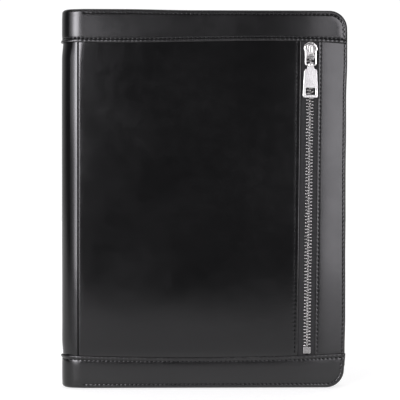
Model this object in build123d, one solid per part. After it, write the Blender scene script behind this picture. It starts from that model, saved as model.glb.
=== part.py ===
from build123d import *
from math import acos, atan2, cos, hypot, radians, sin, tan
import os

# A4 leather portfolio case: two stiff covers joined by a soft round spine, a flat zip pocket in the
# front cover, and inside it a document pocket, card slots, a pen loop and a writing pad in a sleeve.
# Millimetres, +Z up. The case stands on its lower edge, front face towards -Y, spine at -X.
# Origin: centre of the bounding box's underside.

# ---- driving dimensions -------------------------------------------------------------------------
HEIGHT = 333.5            # over the end bands
X_EDGE = 126.75           # fore-edge, outside of the end bands
X_CREASE = -110.85        # both crease lines, where the covers fold
CREASE_GAP = 0.4          # cover and spine leather each stop this far from the crease line
HALF_T = 14.0             # half the thickness over the leather
BAND_T = 1.0              # end band leather, lying on top of the cover leather
LEATHER = 1.4             # cover leather
BAND_TOP_Z = 306.0        # lower edge of the upper end bands
BAND_BOT_Z = 27.5         # upper edge of the lower end bands
R_TOP, R_BOT = 16.0, 18.5  # fore-edge corner radii, outside
Y_SHIFT = 1.9             # puts the origin under the middle of the bounding box, pull included

ZIP_TILT = 0.62                # degrees, the zip leans towards the spine as it goes down
TILT_Z = 300.0                 # height at which the next three are measured
SLIT_L, SLIT_R = 86.2, 101.3   # zip opening in the front leather
ZIP_X = 94.2                   # zip centre line
TAPE_Y = -12.35                # middle of the zip tape
TOOTH_PITCH = 2.86             # per side
TOOTH_TOP_Z = 296.4
STOP_TOP_Z = 36.2
NOSE_Z = 305.7                 # top of the slider at rest
TAIL_Z = 290.8                 # bottom of the slider at rest
LINK_Z, PIVOT_Y = 298.2, -16.35
TAB_Z = 285.2                  # pin of the tab at rest
WIRE_R = 0.8

SPINE_X = X_CREASE - CREASE_GAP   # -111.25, flat side of the half-round spine
SPINE_A = X_EDGE - BAND_T + SPINE_X  # spine bulge, leather outside

parts = {}


def face(x0, x1, z0, z1, rt=0.0, rb=0.0):
    """Closed outline in X and Z, with the two corners at x1 rounded."""
    if rt == 0 and rb == 0:
        return make_face(Polyline((x0, z0), (x1, z0), (x1, z1), (x0, z1), close=True))
    return make_face([
        Line((x0, z0), (x1 - rb, z0)),
        CenterArc((x1 - rb, z0 + rb), rb, -90, 90),
        Line((x1, z0 + rb), (x1, z1 - rt)),
        CenterArc((x1 - rt, z1 - rt), rt, 0, 90),
        Line((x1 - rt, z1), (x0, z1)),
        Line((x0, z1), (x0, z0)),
    ])


def plate(outline, y0, y1):
    """Extrudes an X-Z outline from y0 to y1."""
    return Pos(0, y1, 0) * (Rot(90, 0, 0) * extrude(outline, amount=y1 - y0))


def block(x0, x1, y0, y1, z0, z1):
    return Pos((x0 + x1) / 2, (y0 + y1) / 2, (z0 + z1) / 2) * Box(x1 - x0, y1 - y0, z1 - z0)


def slit_side(x_at_tilt_z, x_far, z0=-5.0, z1=340.0):
    """Area on one side of the slanted slit line that passes (x_at_tilt_z, TILT_Z)."""
    k = tan(radians(ZIP_TILT))
    return make_face(Polyline((x_far, z0), (x_at_tilt_z + (z0 - TILT_Z) * k, z0),
                              (x_at_tilt_z + (z1 - TILT_Z) * k, z1), (x_far, z1), close=True))


def tilt(shape):
    """Leans a piece of the zip with the slit."""
    return Pos(ZIP_X, 0, TILT_Z) * (Rot(0, ZIP_TILT, 0) * (Pos(-ZIP_X, 0, -TILT_Z) * shape))


def flip(shape):
    """Front cover to back cover: mirrors in the middle plane between them."""
    return mirror(shape, about=Plane.XZ)


def add(name, *shapes):
    solids = []
    for s in shapes:
        solids += list((Pos(0, Y_SHIFT, 0) * s).solids())
    parts[name] = solids


# ---- cover outlines -----------------------------------------------------------------------------
X0 = X_CREASE + CREASE_GAP        # -110.8
BAND_OUT = dict(x1=X_EDGE, z0=0.0, z1=HEIGHT, rt=R_TOP, rb=R_BOT)
SKIN = dict(x1=X_EDGE - BAND_T, z0=BAND_T, z1=HEIGHT - BAND_T, rt=R_TOP - BAND_T, rb=R_BOT - BAND_T)
CORE = dict(x1=SKIN["x1"] - LEATHER, z0=BAND_T, z1=HEIGHT - BAND_T,
            rt=SKIN["rt"] - LEATHER, rb=SKIN["rb"] - LEATHER)
BOARD = dict(x1=CORE["x1"] - 0.15, z0=BAND_T + 0.2, z1=HEIGHT - BAND_T - 0.2,
             rt=CORE["rt"] - 0.1, rb=CORE["rb"] - 0.1)


def turned_in(y_in, depth=12.0):
    return face(X0, X_EDGE - depth, depth, HEIGHT - depth, 5.0, 5.0)


def band(y_out, y_face, y_in0, y_in1, z0, z1):
    """End band: outer leg on the leather, wall over the edge, thin leg turned in on the lining.
    y_out..y_face is the outer leg, y_in0..y_in1 the inner one."""
    zone = face(X0, X_EDGE + 5, z0, z1)
    outer = face(X0, **BAND_OUT)
    shape = plate(outer & zone, y_out, y_face)
    shape += plate((outer - face(X0 - 1, **SKIN)) & zone, y_face, y_in1)
    shape += plate((outer - turned_in(0)) & zone, y_in0, y_in1)
    return shape


def edge_wrap(area, y_skin, y_in0, y_in1):
    """Leather that goes round the fore-edge: skin over the given area, wall and turned-in leg."""
    x_from = 60
    skin = face(x_from, **SKIN)
    shape = plate(area, -HALF_T, y_skin)
    side = face(60, X_EDGE + 5, BAND_BOT_Z - 7.0, BAND_TOP_Z + 9.0)
    shape += plate((skin - face(x_from - 1, **CORE)) & side, y_skin, y_in0)
    mid = face(60, X_EDGE + 5, BAND_BOT_Z + 0.3, BAND_TOP_Z - 0.3)
    shape += plate((skin - face(x_from - 1, X_EDGE - 12, 0, HEIGHT)) & mid, y_in0, y_in1)
    return shape


# ---- front cover --------------------------------------------------------------------------------
F_FACE = -HALF_T                       # -14.0
F_SKIN = F_FACE + LEATHER              # -12.6
F_LINING_IN = -6.3                     # inner face of the lining
F_TURN_IN = -5.7

add("front_panel", plate(face(X0, 120, SKIN["z0"], SKIN["z1"]) & slit_side(SLIT_L, -130), F_FACE, F_SKIN))
add("front_edge_panel", edge_wrap(face(60, **SKIN) & slit_side(SLIT_R, 140), F_SKIN, F_LINING_IN, F_TURN_IN))
add("front_top_band", band(F_FACE - BAND_T, F_FACE, F_LINING_IN, F_TURN_IN, BAND_TOP_Z, HEIGHT + 5))
add("front_bottom_band", band(F_FACE - BAND_T, F_FACE, F_LINING_IN, F_TURN_IN, -5, BAND_BOT_Z))

board = face(X0 + 3.8, **BOARD)
pocket = face(X0 + 3.8, **BOARD)
add("pocket_front_lining",
    plate(pocket & slit_side(SLIT_L, -130), -12.1, -11.8),
    plate(pocket & slit_side(SLIT_R, 140), -12.1, -11.8))
add("pocket_back_lining", plate(pocket, -9.0, -8.6))
add("front_board", plate(board, -8.6, -6.8))
lining = face(X0 + 1.2, **BOARD)
add("front_lining", plate(lining, -6.8, F_LINING_IN))

# document pocket: leather panel, hems on three sides keep it off the lining, open towards the top
DP = (-104.0, 112.0, 15.0, 268.0)
HEM = 5.0
dp = plate(face(DP[0], DP[1], DP[2], DP[3]), -5.6, -4.7)
hems = (block(DP[0], DP[0] + HEM, F_LINING_IN, -5.6, DP[2], DP[3])
        + block(DP[1] - HEM, DP[1], F_LINING_IN, -5.6, DP[2], DP[3])
        + block(DP[0], DP[1], F_LINING_IN, -5.6, DP[2], DP[2] + HEM))
add("document_pocket", dp, hems)

# three stepped card slots on the document pocket
CARD_X0, CARD_X1 = -2.0, 98.0
for i in range(3):
    y1 = -4.7 + 0.7 * (i + 1)
    add(f"card_slot_{i + 1}", plate(face(CARD_X0, CARD_X1, 178.0, 252.0 - 15.0 * i), y1 - 0.7, y1))

# ---- zip ----------------------------------------------------------------------------------------
TAPE_T = 0.5
for side, s in (("left", -1), ("right", 1)):
    pts = [(ZIP_X + s * 16.0, 12.0), (ZIP_X + s * 1.2, 12.0), (ZIP_X + s * 1.2, 296.8),
           (ZIP_X + s * 2.3, 298.6), (ZIP_X + s * 2.3, 322.0), (ZIP_X + s * 16.0, 322.0)]
    tape_face = make_face(Polyline(*pts, close=True))
    add(f"zip_tape_{side}", tilt(plate(tape_face, TAPE_Y - TAPE_T / 2, TAPE_Y + TAPE_T / 2)))

    teeth = []
    z = STOP_TOP_Z + 0.9 + (0.0 if s < 0 else TOOTH_PITCH / 2)
    x_out, x_in = ZIP_X + s * 3.05, ZIP_X - s * 0.85
    while z < TOOTH_TOP_Z:
        t = block(min(x_out, x_in), max(x_out, x_in), TAPE_Y - 1.35, TAPE_Y + 1.35, z - 0.66, z + 0.66)
        xs = sorted((ZIP_X + s * 3.2, ZIP_X + s * 1.15))
        t -= block(xs[0], xs[1], TAPE_Y - 0.26, TAPE_Y + 0.26, z - 1, z + 1)
        teeth.append(tilt(t))
        z += TOOTH_PITCH
    add(f"zip_teeth_{side}", *teeth)

stop = block(ZIP_X - 3.4, ZIP_X + 3.4, -13.9, -10.8, 30.0, STOP_TOP_Z)
stop -= block(ZIP_X - 4, ZIP_X - 1.2, TAPE_Y - 0.25, TAPE_Y + 0.25, 29, 37)
stop -= block(ZIP_X + 1.2, ZIP_X + 4, TAPE_Y - 0.25, TAPE_Y + 0.25, 29, 37)
add("zip_bottom_stop", tilt(fillet(stop.edges().filter_by(Axis.Z).group_by(Axis.X)[0]
                                   + stop.edges().filter_by(Axis.Z).group_by(Axis.X)[-1], 0.3)))
tops = []
for s in (-1, 1):
    xs = sorted((ZIP_X + s * 4.3, ZIP_X + s * 1.6))
    t = block(xs[0], xs[1], -13.9, -10.8, 307.2, 310.6)
    xt = sorted((ZIP_X + s * 5.0, ZIP_X + s * 2.3))
    tops.append(tilt(t - block(xt[0], xt[1], TAPE_Y - 0.25, TAPE_Y + 0.25, 307, 311)))
add("zip_top_stops", *tops)

# slider: two plates joined by a wedge post, side flanges, and an arched crown on the front plate
NOSE_R, TAIL_W = 6.1, 4.4
nose_c = NOSE_Z - NOSE_R


def slider_outline(inset=0.0):
    """Round nose running tangentially into a narrower square tail."""
    r, w, drop = NOSE_R - inset, TAIL_W - inset, nose_c - TAIL_Z - inset
    a = atan2(-drop, w) + acos(r / hypot(w, drop))
    tx, tz = r * cos(a), r * sin(a)
    return make_face([
        Line((ZIP_X - w, nose_c - drop), (ZIP_X + w, nose_c - drop)),
        Line((ZIP_X + w, nose_c - drop), (ZIP_X + tx, nose_c + tz)),
        ThreePointArc((ZIP_X + tx, nose_c + tz), (ZIP_X, nose_c + r), (ZIP_X - tx, nose_c + tz)),
        Line((ZIP_X - tx, nose_c + tz), (ZIP_X - w, nose_c - drop)),
    ])


full = slider_outline()
ring = (full - slider_outline(1.05)) & (face(ZIP_X - 9, ZIP_X - 3.3, TAIL_Z - 1, nose_c + 2.5)
                                        + face(ZIP_X + 3.3, ZIP_X + 9, TAIL_Z - 1, nose_c + 2.5))
front_plate = plate(full, -15.15, -13.95)
front_plate = fillet(front_plate.edges().group_by(Axis.Y)[0], 0.45)
rear_plate = plate(full, -10.75, -9.6)
rear_plate = fillet(rear_plate.edges().group_by(Axis.Y)[-1], 0.45)
wedge = make_face(Polyline((ZIP_X, 297.6), (ZIP_X + 1.5, 301.2), (ZIP_X + 1.5, 304.6), (ZIP_X - 1.5, 304.6),
                           (ZIP_X - 1.5, 301.2), close=True))
slider = (front_plate + rear_plate + plate(wedge, -13.95, -10.75)
          + plate(ring, -13.95, -12.95) + plate(ring, -11.75, -10.75))
crown_side = make_face(Polyline((294.4, -15.0), (294.4, -17.2), (296.0, -18.8), (301.2, -18.8), (302.9, -17.2),
                                (302.9, -15.0), close=True))
crown_hole = make_face(Polyline((295.7, -14.9), (295.7, -17.0), (296.4, -17.6), (300.8, -17.6), (301.5, -17.0),
                                (301.5, -14.9), close=True))
# the outlines are in (Z, Y); turned so that they run along X
crown = Pos(ZIP_X - 1.5, 0, 0) * (Plane(origin=(0, 0, 0), x_dir=(0, 0, 1), z_dir=(1, 0, 0)).location
                                  * extrude(mirror(crown_side - crown_hole, about=Plane.XZ), amount=3.0))
crown = crown - block(ZIP_X - 2, ZIP_X + 2, -15.15, -14, 295.7, 301.5)
slider += crown & block(ZIP_X - 2, ZIP_X + 2, -19, -14.9, 290, 306)
add("zip_slider_body", tilt(slider))

# pull link: a wire U whose top bar runs through the crown and whose ends turn into the tab's neck
LW = 4.6
path = FilletPolyline((ZIP_X - 1.25, 0, TAB_Z), (ZIP_X - LW, 0, TAB_Z), (ZIP_X - LW, 0, LINK_Z), (ZIP_X + LW, 0, LINK_Z),
                      (ZIP_X + LW, 0, TAB_Z), (ZIP_X + 1.25, 0, TAB_Z), radius=1.2)
path = Pos(0, PIVOT_Y, 0) * path
link = sweep(Plane(origin=path @ 0, z_dir=path % 0) * Circle(WIRE_R), path=path)
add("pull_link", tilt(link))

# pull tab: tapered plate with a barrel across its neck and a rectangular window near its lower end
tab_face = make_face(Polyline(
    (ZIP_X - 2.75, TAB_Z), (ZIP_X - 2.75, 283.2), (ZIP_X - 5.35, 281.4), (ZIP_X - 6.75, 256.2),
    (ZIP_X + 6.75, 256.2), (ZIP_X + 5.35, 281.4), (ZIP_X + 2.75, 283.2), (ZIP_X + 2.75, TAB_Z), close=True))
window = face(ZIP_X - 4.2, ZIP_X + 4.2, 258.7, 265.0)
tab = plate(tab_face - window, -17.0, -15.5)
tab = fillet(tab.edges().group_by(Axis.Y)[0].filter_by(GeomType.LINE), 0.25)
barrel = Pos(ZIP_X, PIVOT_Y, TAB_Z) * (Rot(0, 90, 0) * Cylinder(1.6, 5.5))
bore = Pos(ZIP_X, PIVOT_Y, TAB_Z) * (Rot(0, 90, 0) * Cylinder(WIRE_R + 0.1, 12))
tab = (tab + barrel) - bore
add("pull_tab", tilt(tab))

# ---- back cover ---------------------------------------------------------------------------------
B_LINING_IN = -10.3   # written for the front side, then flipped
B_TURN_IN = -9.7
add("back_panel", flip(edge_wrap(face(X0, **SKIN), F_SKIN, B_LINING_IN, B_TURN_IN)))
add("back_top_band", flip(band(F_FACE - BAND_T, F_FACE, B_LINING_IN, B_TURN_IN, BAND_TOP_Z, HEIGHT + 5)))
add("back_bottom_band", flip(band(F_FACE - BAND_T, F_FACE, B_LINING_IN, B_TURN_IN, -5, BAND_BOT_Z)))
add("back_board", flip(plate(board, F_SKIN, -10.8)))
add("back_lining", flip(plate(lining, -10.8, B_LINING_IN)))

# sleeve that the pad's card back slips into from above
PAD_X0, PAD_X1, PAD_Z0, PAD_Z1 = -98.5, 111.5, 14.5, 311.5
SL = (PAD_X0 - 6.0, PAD_X1 + 2.6, 12.4, 205.0)
sleeve_face = face(SL[0], SL[1], SL[2], SL[3], 0.01, 5.0)
sleeve = plate(sleeve_face, 7.3, 8.3)
s_hems = plate(sleeve_face - face(SL[0] + 4.5, PAD_X1 + 0.4, PAD_Z0 - 0.4, 400), 8.3, 10.3)
add("notepad_sleeve", sleeve, s_hems)

# ---- writing pad --------------------------------------------------------------------------------
add("notepad_sheets", block(PAD_X0, PAD_X1, 1.2, 7.0, PAD_Z0, PAD_Z1))
add("notepad_card_back", block(PAD_X0, PAD_X1, 8.6, 9.2, PAD_Z0, PAD_Z1))
add("notepad_binding",
    block(PAD_X0, PAD_X1, 7.0, 8.6, PAD_Z1 - 12, PAD_Z1)
    + block(PAD_X0, PAD_X1, 1.0, 9.35, PAD_Z1, PAD_Z1 + 0.3)
    + block(PAD_X0, PAD_X1, 1.0, 1.2, PAD_Z1 - 16, PAD_Z1 + 0.3)
    + block(PAD_X0, PAD_X1, 9.2, 9.35, PAD_Z1 - 12, PAD_Z1 + 0.3))

# ---- spine --------------------------------------------------------------------------------------
left_half = Pos(SPINE_X - 50, 0) * Rectangle(100, 100)


def shell(a0, b0, a1, b1, z0, z1, cut=None):
    """Half-elliptical shell, outer semi-axes a0, b0 and inner a1, b1."""
    f = (Pos(SPINE_X, 0) * (Ellipse(a0, b0) - Ellipse(a1, b1))) & left_half
    if cut is not None:
        f = f & (Pos(SPINE_X - cut - 50, 0) * Rectangle(100, 100))
    return Pos(0, 0, z0) * extrude(f, amount=z1 - z0)


add("spine_panel", shell(SPINE_A, HALF_T, SPINE_A - 1.4, HALF_T - 1.4, BAND_T, HEIGHT - BAND_T))
add("spine_stiffener", shell(SPINE_A - 1.4, HALF_T - 1.4, SPINE_A - 2.1, HALF_T - 2.1, 4.0, HEIGHT - 4.0, cut=2.0))
add("spine_lining", shell(SPINE_A - 2.1, HALF_T - 2.1, SPINE_A - 2.6, HALF_T - 2.6, BAND_T, HEIGHT - BAND_T))


def spine_band(z_end, z_edge):
    """End band over the spine: outside, over the end, and turned in."""
    lo, hi = min(z_end, z_edge), max(z_end, z_edge)
    s = shell(SPINE_A + BAND_T, HALF_T + BAND_T, SPINE_A, HALF_T, lo, hi)
    zs = sorted((z_end, z_end + (BAND_T if z_edge > z_end else -BAND_T)))
    s += shell(SPINE_A, HALF_T, SPINE_A - 3.2, HALF_T - 3.2, zs[0], zs[1])
    zt = sorted((z_end, z_end + (12.0 if z_edge > z_end else -12.0)))
    s += shell(SPINE_A - 2.6, HALF_T - 2.6, SPINE_A - 3.2, HALF_T - 3.2, zt[0], zt[1])
    return s


add("spine_top_band", spine_band(HEIGHT, BAND_TOP_Z))
add("spine_bottom_band", spine_band(0.0, BAND_BOT_Z))

LOOP_R, LOOP_WALL, LOOP_Z0, LOOP_Z1 = 5.5, 0.7, 190.0, 245.0
loop_x = SPINE_X - (SPINE_A - 2.6) + LOOP_R + LOOP_WALL + 0.2
loop = Pos(loop_x, 0, LOOP_Z0) * extrude(Circle(LOOP_R + LOOP_WALL) , amount=LOOP_Z1 - LOOP_Z0)
foot = Pos(0, 0, LOOP_Z0) * extrude((Pos(SPINE_X, 0) * Ellipse(SPINE_A - 2.6, HALF_T - 2.6))
                                    & (Pos(loop_x - 5.6, 0) * Rectangle(3.0, 6.0)) , amount=LOOP_Z1 - LOOP_Z0)
loop = (loop + foot) - Pos(loop_x, 0, LOOP_Z0 - 1) * extrude(Circle(LOOP_R), amount=LOOP_Z1 - LOOP_Z0 + 2)
add("pen_loop", loop)

# ---- write --------------------------------------------------------------------------------------
os.makedirs("parts", exist_ok=True)
for name, solids in parts.items():
    export_step(solids[0] if len(solids) == 1 else Compound(children=solids), f"parts/{name}.step")
print("nodes", len(parts), "pen loop x", loop_x)
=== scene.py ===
"""Looks for the portfolio case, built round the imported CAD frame. Lengths below are in millimetres in the
case's own local frame (y = 0 half-way between the covers) and go to metres in emit()."""
import bpy
import bmesh
import math
import numpy as np
from mathutils import Matrix, Vector, geometry


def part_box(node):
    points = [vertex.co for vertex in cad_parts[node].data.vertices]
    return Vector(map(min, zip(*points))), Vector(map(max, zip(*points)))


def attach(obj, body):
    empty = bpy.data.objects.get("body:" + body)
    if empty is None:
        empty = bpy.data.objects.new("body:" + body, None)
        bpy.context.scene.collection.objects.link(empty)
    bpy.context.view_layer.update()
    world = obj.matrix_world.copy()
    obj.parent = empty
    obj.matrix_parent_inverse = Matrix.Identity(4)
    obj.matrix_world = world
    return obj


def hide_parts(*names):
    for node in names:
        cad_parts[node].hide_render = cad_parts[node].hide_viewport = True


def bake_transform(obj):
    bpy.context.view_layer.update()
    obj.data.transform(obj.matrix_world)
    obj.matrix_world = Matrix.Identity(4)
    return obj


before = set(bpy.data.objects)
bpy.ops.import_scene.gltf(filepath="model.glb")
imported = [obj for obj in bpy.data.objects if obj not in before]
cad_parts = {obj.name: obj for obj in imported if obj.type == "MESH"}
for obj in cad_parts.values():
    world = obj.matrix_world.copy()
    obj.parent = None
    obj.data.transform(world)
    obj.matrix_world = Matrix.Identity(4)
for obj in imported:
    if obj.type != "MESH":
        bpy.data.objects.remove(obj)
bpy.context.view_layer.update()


def mm(node):
    lo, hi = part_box(node)
    return np.array(lo) * 1000.0, np.array(hi) * 1000.0


# ---- sizes, read from the frame -------------------------------------------------------------------
_tb, _bb, _fp = mm("front_top_band"), mm("front_bottom_band"), mm("front_panel")
_bk = mm("back_top_band")
YS = (_tb[0][1] + _bk[1][1]) / 2          # row-frame y of the middle plane
H = _tb[1][2]                             # height
XE = _tb[1][0]                            # fore-edge, over the bands
XC = _fp[0][0] - 0.4                      # crease line
HT = YS - _fp[0][1]                       # half thickness over the leather (14)
BT = _fp[0][1] - _tb[0][1]                # band leather (1)
XS = XE - BT                              # fore-edge, over the skin
SPX = XC - 0.4                            # flat side of the half-round spine
SPA = XS + SPX                            # its bulge
ZT, ZB = _tb[0][2], _bb[1][2]             # free edges of the end bands
F_IN = _tb[1][1] - YS                     # inner face of the front cover (-5.7)
B_IN = _bk[0][1] - YS                     # inner face of the back cover (9.7)
RT, RB = 16.0, 16.0                       # corner radii of the bands
PITCH = 3.8                               # stitch pitch
TILT = math.radians(0.62)
ZIPX, ZREF = 94.2, 300.0
SLIT = (86.2, 101.3)

rng = np.random.default_rng(7)


def smooth(t):
    t = np.clip(t, 0, 1)
    return t * t * (3 - 2 * t)


def slit_x(x_ref, z):
    return x_ref + (np.asarray(z, float) - ZREF) * math.tan(TILT)


def tilt(v):
    """Leans points with the zip."""
    v = np.array(v, float)
    c, s = math.cos(TILT), math.sin(TILT)
    x, z = v[:, 0] - ZIPX, v[:, 2] - ZREF
    v[:, 0], v[:, 2] = ZIPX + x * c + z * s, ZREF - x * s + z * c
    return v


# ---- meshes ---------------------------------------------------------------------------------------
def emit(name, v, faces, mat, uv=None, attrs=None, flip=False, smooth_shade=True, sharp=None):
    """Makes an object from points in local millimetres."""
    v = np.array(v, float)
    p = (v + np.array([0, YS, 0])) * 0.001
    fl = [list(map(int, f)) for f in faces]
    if flip:
        fl = [f[::-1] for f in fl]
    me = bpy.data.meshes.new(name)
    me.from_pydata(p.tolist(), [], fl)
    me.validate()
    if uv is not None:
        layer = me.uv_layers.new(name="UVMap")
        idx = np.zeros(len(me.loops), np.int32)
        me.loops.foreach_get("vertex_index", idx)
        layer.data.foreach_set("uv", np.asarray(uv, np.float32)[idx].ravel())
    for key, values in (attrs or {}).items():
        a = me.attributes.new(key, "FLOAT", "POINT")
        a.data.foreach_set("value", np.asarray(values, np.float32))
    me.shade_smooth() if smooth_shade else None
    if sharp is not None:
        me.set_sharp_from_angle(angle=math.radians(sharp))
    me.materials.append(mat)
    ob = bpy.data.objects.new(name, me)
    bpy.context.scene.collection.objects.link(ob)
    return ob


def grid_faces(nu, nv, base=0):
    """Quads of a grid whose point (i, j) is base + i*nv + j. Normal is u x v."""
    i, j = np.meshgrid(np.arange(nu - 1), np.arange(nv - 1), indexing="ij")
    a = base + i * nv + j
    return np.stack([a, a + nv, a + nv + 1, a + 1], -1).reshape(-1, 4)


def normals(v, quads):
    n = np.zeros_like(v)
    d1, d2 = v[quads[:, 2]] - v[quads[:, 0]], v[quads[:, 3]] - v[quads[:, 1]]
    fn = np.cross(d1, d2)
    for k in range(4):
        np.add.at(n, quads[:, k], fn)
    return n / np.maximum(np.linalg.norm(n, axis=1, keepdims=True), 1e-12)


def solid_sheet(v, quads, t, rim=4, flat=None, uv=None, wear=None):
    """Turns an outer surface into a closed sheet of thickness t with rounded cut edges.
    flat(v) marks edge points that get no bulge, where the sheet meets another."""
    n = normals(v, quads)
    e = np.concatenate([quads[:, [0, 1]], quads[:, [1, 2]], quads[:, [2, 3]], quads[:, [3, 0]]])
    keys = {(int(a), int(b)) for a, b in e}
    border = [(a, b) for a, b in keys if (b, a) not in keys]
    border.sort()
    out = np.zeros_like(v)
    for a, b in border:
        d = v[b] - v[a]
        o = np.cross(d, n[a] + n[b])
        o /= max(np.linalg.norm(o), 1e-12)
        out[a] += o
        out[b] += o
    ids = sorted({i for ab in border for i in ab})
    out[ids] -= n[ids] * np.sum(out[ids] * n[ids], axis=1, keepdims=True)
    out[ids] /= np.maximum(np.linalg.norm(out[ids], axis=1, keepdims=True), 1e-12)
    is_flat = flat(v[ids]) if flat is not None else np.zeros(len(ids), bool)
    nv = len(v)
    layers = [v, v - n * t]
    quads_all = [quads, quads[:, ::-1] + nv]
    place = {i: k for k, i in enumerate(ids)}
    loops = [{i: i for i in ids}]
    base = 2 * nv
    extra_src = []
    for k in range(1, rim):
        phi = math.pi * k / rim
        p = v[ids] - n[ids] * t / 2 + n[ids] * (math.cos(phi) * t / 2)
        p += out[ids] * (math.sin(phi) * t / 2) * (~is_flat)[:, None]
        p[is_flat] = v[ids][is_flat] - n[ids][is_flat] * t * k / rim
        layers.append(p)
        loops.append({i: base + place[i] for i in ids})
        base += len(ids)
        extra_src.append(ids)
    loops.append({i: i + nv for i in ids})
    rims = [[lo[a], hi[a], hi[b], lo[b]] for lo, hi in zip(loops[:-1], loops[1:]) for a, b in border]
    vv = np.concatenate(layers)
    ff = np.concatenate(quads_all + [np.array(rims, int)])
    src = np.concatenate([np.arange(nv), np.arange(nv)] + [np.array(s, int) for s in extra_src])
    res = [vv, ff, None if uv is None else np.asarray(uv)[src]]
    w = None
    if wear is not None:
        w = np.asarray(wear, float)[src]
        w[2 * nv:] = np.maximum(w[2 * nv:], 0.8)
    res.append(w)
    return res


def bump_wave(s, phase=0.0):
    return np.cos(2 * np.pi * s / PITCH + phase)


def waves(x, z, amp, seed, lo=50.0, hi=130.0, n=7):
    """Slow unevenness of a leather face."""
    r = np.random.default_rng(seed)
    total = np.zeros(np.broadcast(x, z).shape)
    for _ in range(n):
        a, lam, ph = r.uniform(0, 2 * np.pi), r.uniform(lo, hi), r.uniform(0, 2 * np.pi)
        total = total + np.sin((x * math.cos(a) + z * math.sin(a)) * 2 * np.pi / lam + ph)
    return total * amp / math.sqrt(n)


class Plan:
    """A curve seen from above, from the middle of the spine to the fore-edge."""

    def __init__(self, pts):
        p = np.array(pts, float)
        d = np.linalg.norm(np.diff(p, axis=0), axis=1)
        keep = np.concatenate([[True], d > 1e-9])
        self.p = p[keep]
        self.s = np.concatenate([[0], np.cumsum(np.linalg.norm(np.diff(self.p, axis=0), axis=1))])
        t = np.gradient(self.p, self.s, axis=0)
        t /= np.linalg.norm(t, axis=1, keepdims=True)
        self.n = np.stack([t[:, 1], -t[:, 0]], 1)   # to the right of travel: outwards on the front

    def at(self, s):
        x = np.interp(s, self.s, self.p[:, 0])
        y = np.interp(s, self.s, self.p[:, 1])
        nx = np.interp(s, self.s, self.n[:, 0])
        ny = np.interp(s, self.s, self.n[:, 1])
        k = np.hypot(nx, ny)
        return x, y, nx / k, ny / k

    def s_of_x(self, x):
        return np.interp(x, self.p[:, 0], self.s)


def skin_plan(x_end):
    phi = np.linspace(0, math.pi / 2, 400)[::-1]
    k = 2 / 1.74
    arc = np.stack([SPX - SPA * np.sin(phi) ** k, -HT * np.cos(phi) ** k], 1)
    return Plan(np.concatenate([arc, np.stack([np.linspace(SPX, x_end, 600), np.full(600, -HT)], 1)]))


BAND_X0 = -106.0


def band_plan(x_end):
    a, b = XE + BAND_X0 - 0.75, HT + BT    # from where the roll starts to the back of the spine
    phi = np.linspace(math.asin(0.8 ** 1.5), math.pi / 2, 300)[::-1]
    one = np.stack([BAND_X0 - a * np.sin(phi) ** (2 / 3), -b * np.cos(phi)], 1)
    t = np.linspace(0.8, 0, 300)
    two = np.stack([BAND_X0 - a * t, -b * np.sqrt(1 - t ** 3)], 1)
    xs = np.linspace(BAND_X0, x_end, 500)
    return Plan(np.concatenate([one, two, np.stack([xs, np.full(500, -b)], 1)]))


SKIN, BAND = skin_plan(140.0), band_plan(140.0)


def settle(v, end=None):
    """Small departures from square: the fore-edge leans in towards the foot, and the head rises towards the spine."""
    v = np.array(v, float)
    x, z = v[:, 0], v[:, 2]
    dx = dz = 0.0
    if end == "top":
        dz = 0.75 * smooth((-10.0 - x) / 60.0) * smooth((z - (H - 16)) / 14.0)
    elif end == "bottom":
        dx = (-1.2 - 1.2 * smooth((30 - z) / 16)) * smooth((x - 92.0) / 17.0)
    else:
        dx = -0.5 + 0.6 * smooth((z - 33) / 30) + 0.4 * smooth((z - 180) / 60) + 0.9 * smooth((z - 255) / 35)
        dx = dx * smooth((x - 104.0) / 19.0)
    v[:, 0] += dx
    v[:, 2] += dz
    return v


# ---- leather faces --------------------------------------------------------------------------------
def crease_h(x, z):
    """Depth of the sewn crease, and the roll-off of the cover next to it, wider under the upper band."""
    up = np.exp(-np.clip(ZT - z, 0, None) / 13.0)
    g = -1.2 * np.exp(-np.abs((x - XC) / 0.36) ** 2.2)
    r = np.where(x > XC, -(0.15 + 0.30 * up) * np.exp(-np.clip(x - XC, 0, None) / (1.2 + 1.9 * up)),
                 -0.15 * np.exp(np.clip(x - XC, None, 0) / 0.5))
    return g + r


def channel(d, s, depth=0.34, width=0.62):
    """Sewn line: the leather dips under each stitch and rises between one and the next."""
    return -depth * np.exp(-(d / width) ** 2) * (0.95 - 0.5 * bump_wave(s))


LIP_L, LIP_R = 2.9, 1.85      # stitch line to lip


def skin_h(x, z, side):
    """Height of the skin over its plan curve. side: 'front' or 'back'."""
    h = crease_h(x, z) + waves(x, z, 0.045 if side == "front" else 0.09, 3 if side == "front" else 5)
    if side == "front":
        dl = slit_x(SLIT[0], z) - x
        d = dl - LIP_L
        h = h + channel(np.where(d > 0, d / 3.0, d / 1.1), z, 0.08) + 0.012 * np.exp(-((dl - 1.2) / 0.8) ** 2) * (1 + 0.9 * bump_wave(z))
        h = h - 0.14 * np.exp(-np.clip(dl, 0, None) / 0.35)
    else:
        h = h + channel(x - (XS - 3.6), z)
    h = h - 0.25 * np.exp(-np.clip(ZT - z, 0, None) / 3.0) - 0.25 * np.exp(-np.clip(z - ZB, 0, None) / 3.0)
    full = smooth((ZT - 1 - z) / 14.0) * smooth((z - ZB - 1) / 14.0)
    return h + smooth((-113.0 - x) / 9.0) * (0.85 * full - 0.4)


def ranges(*parts):
    """Concatenates (start, stop, step) ranges into one sorted list."""
    out = []
    for a, b, st in parts:
        n = max(1, int(round((b - a) / st)))
        out += list(a + (b - a) * np.arange(n) / n)
    out.append(parts[-1][1])
    return np.array(out)


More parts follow.
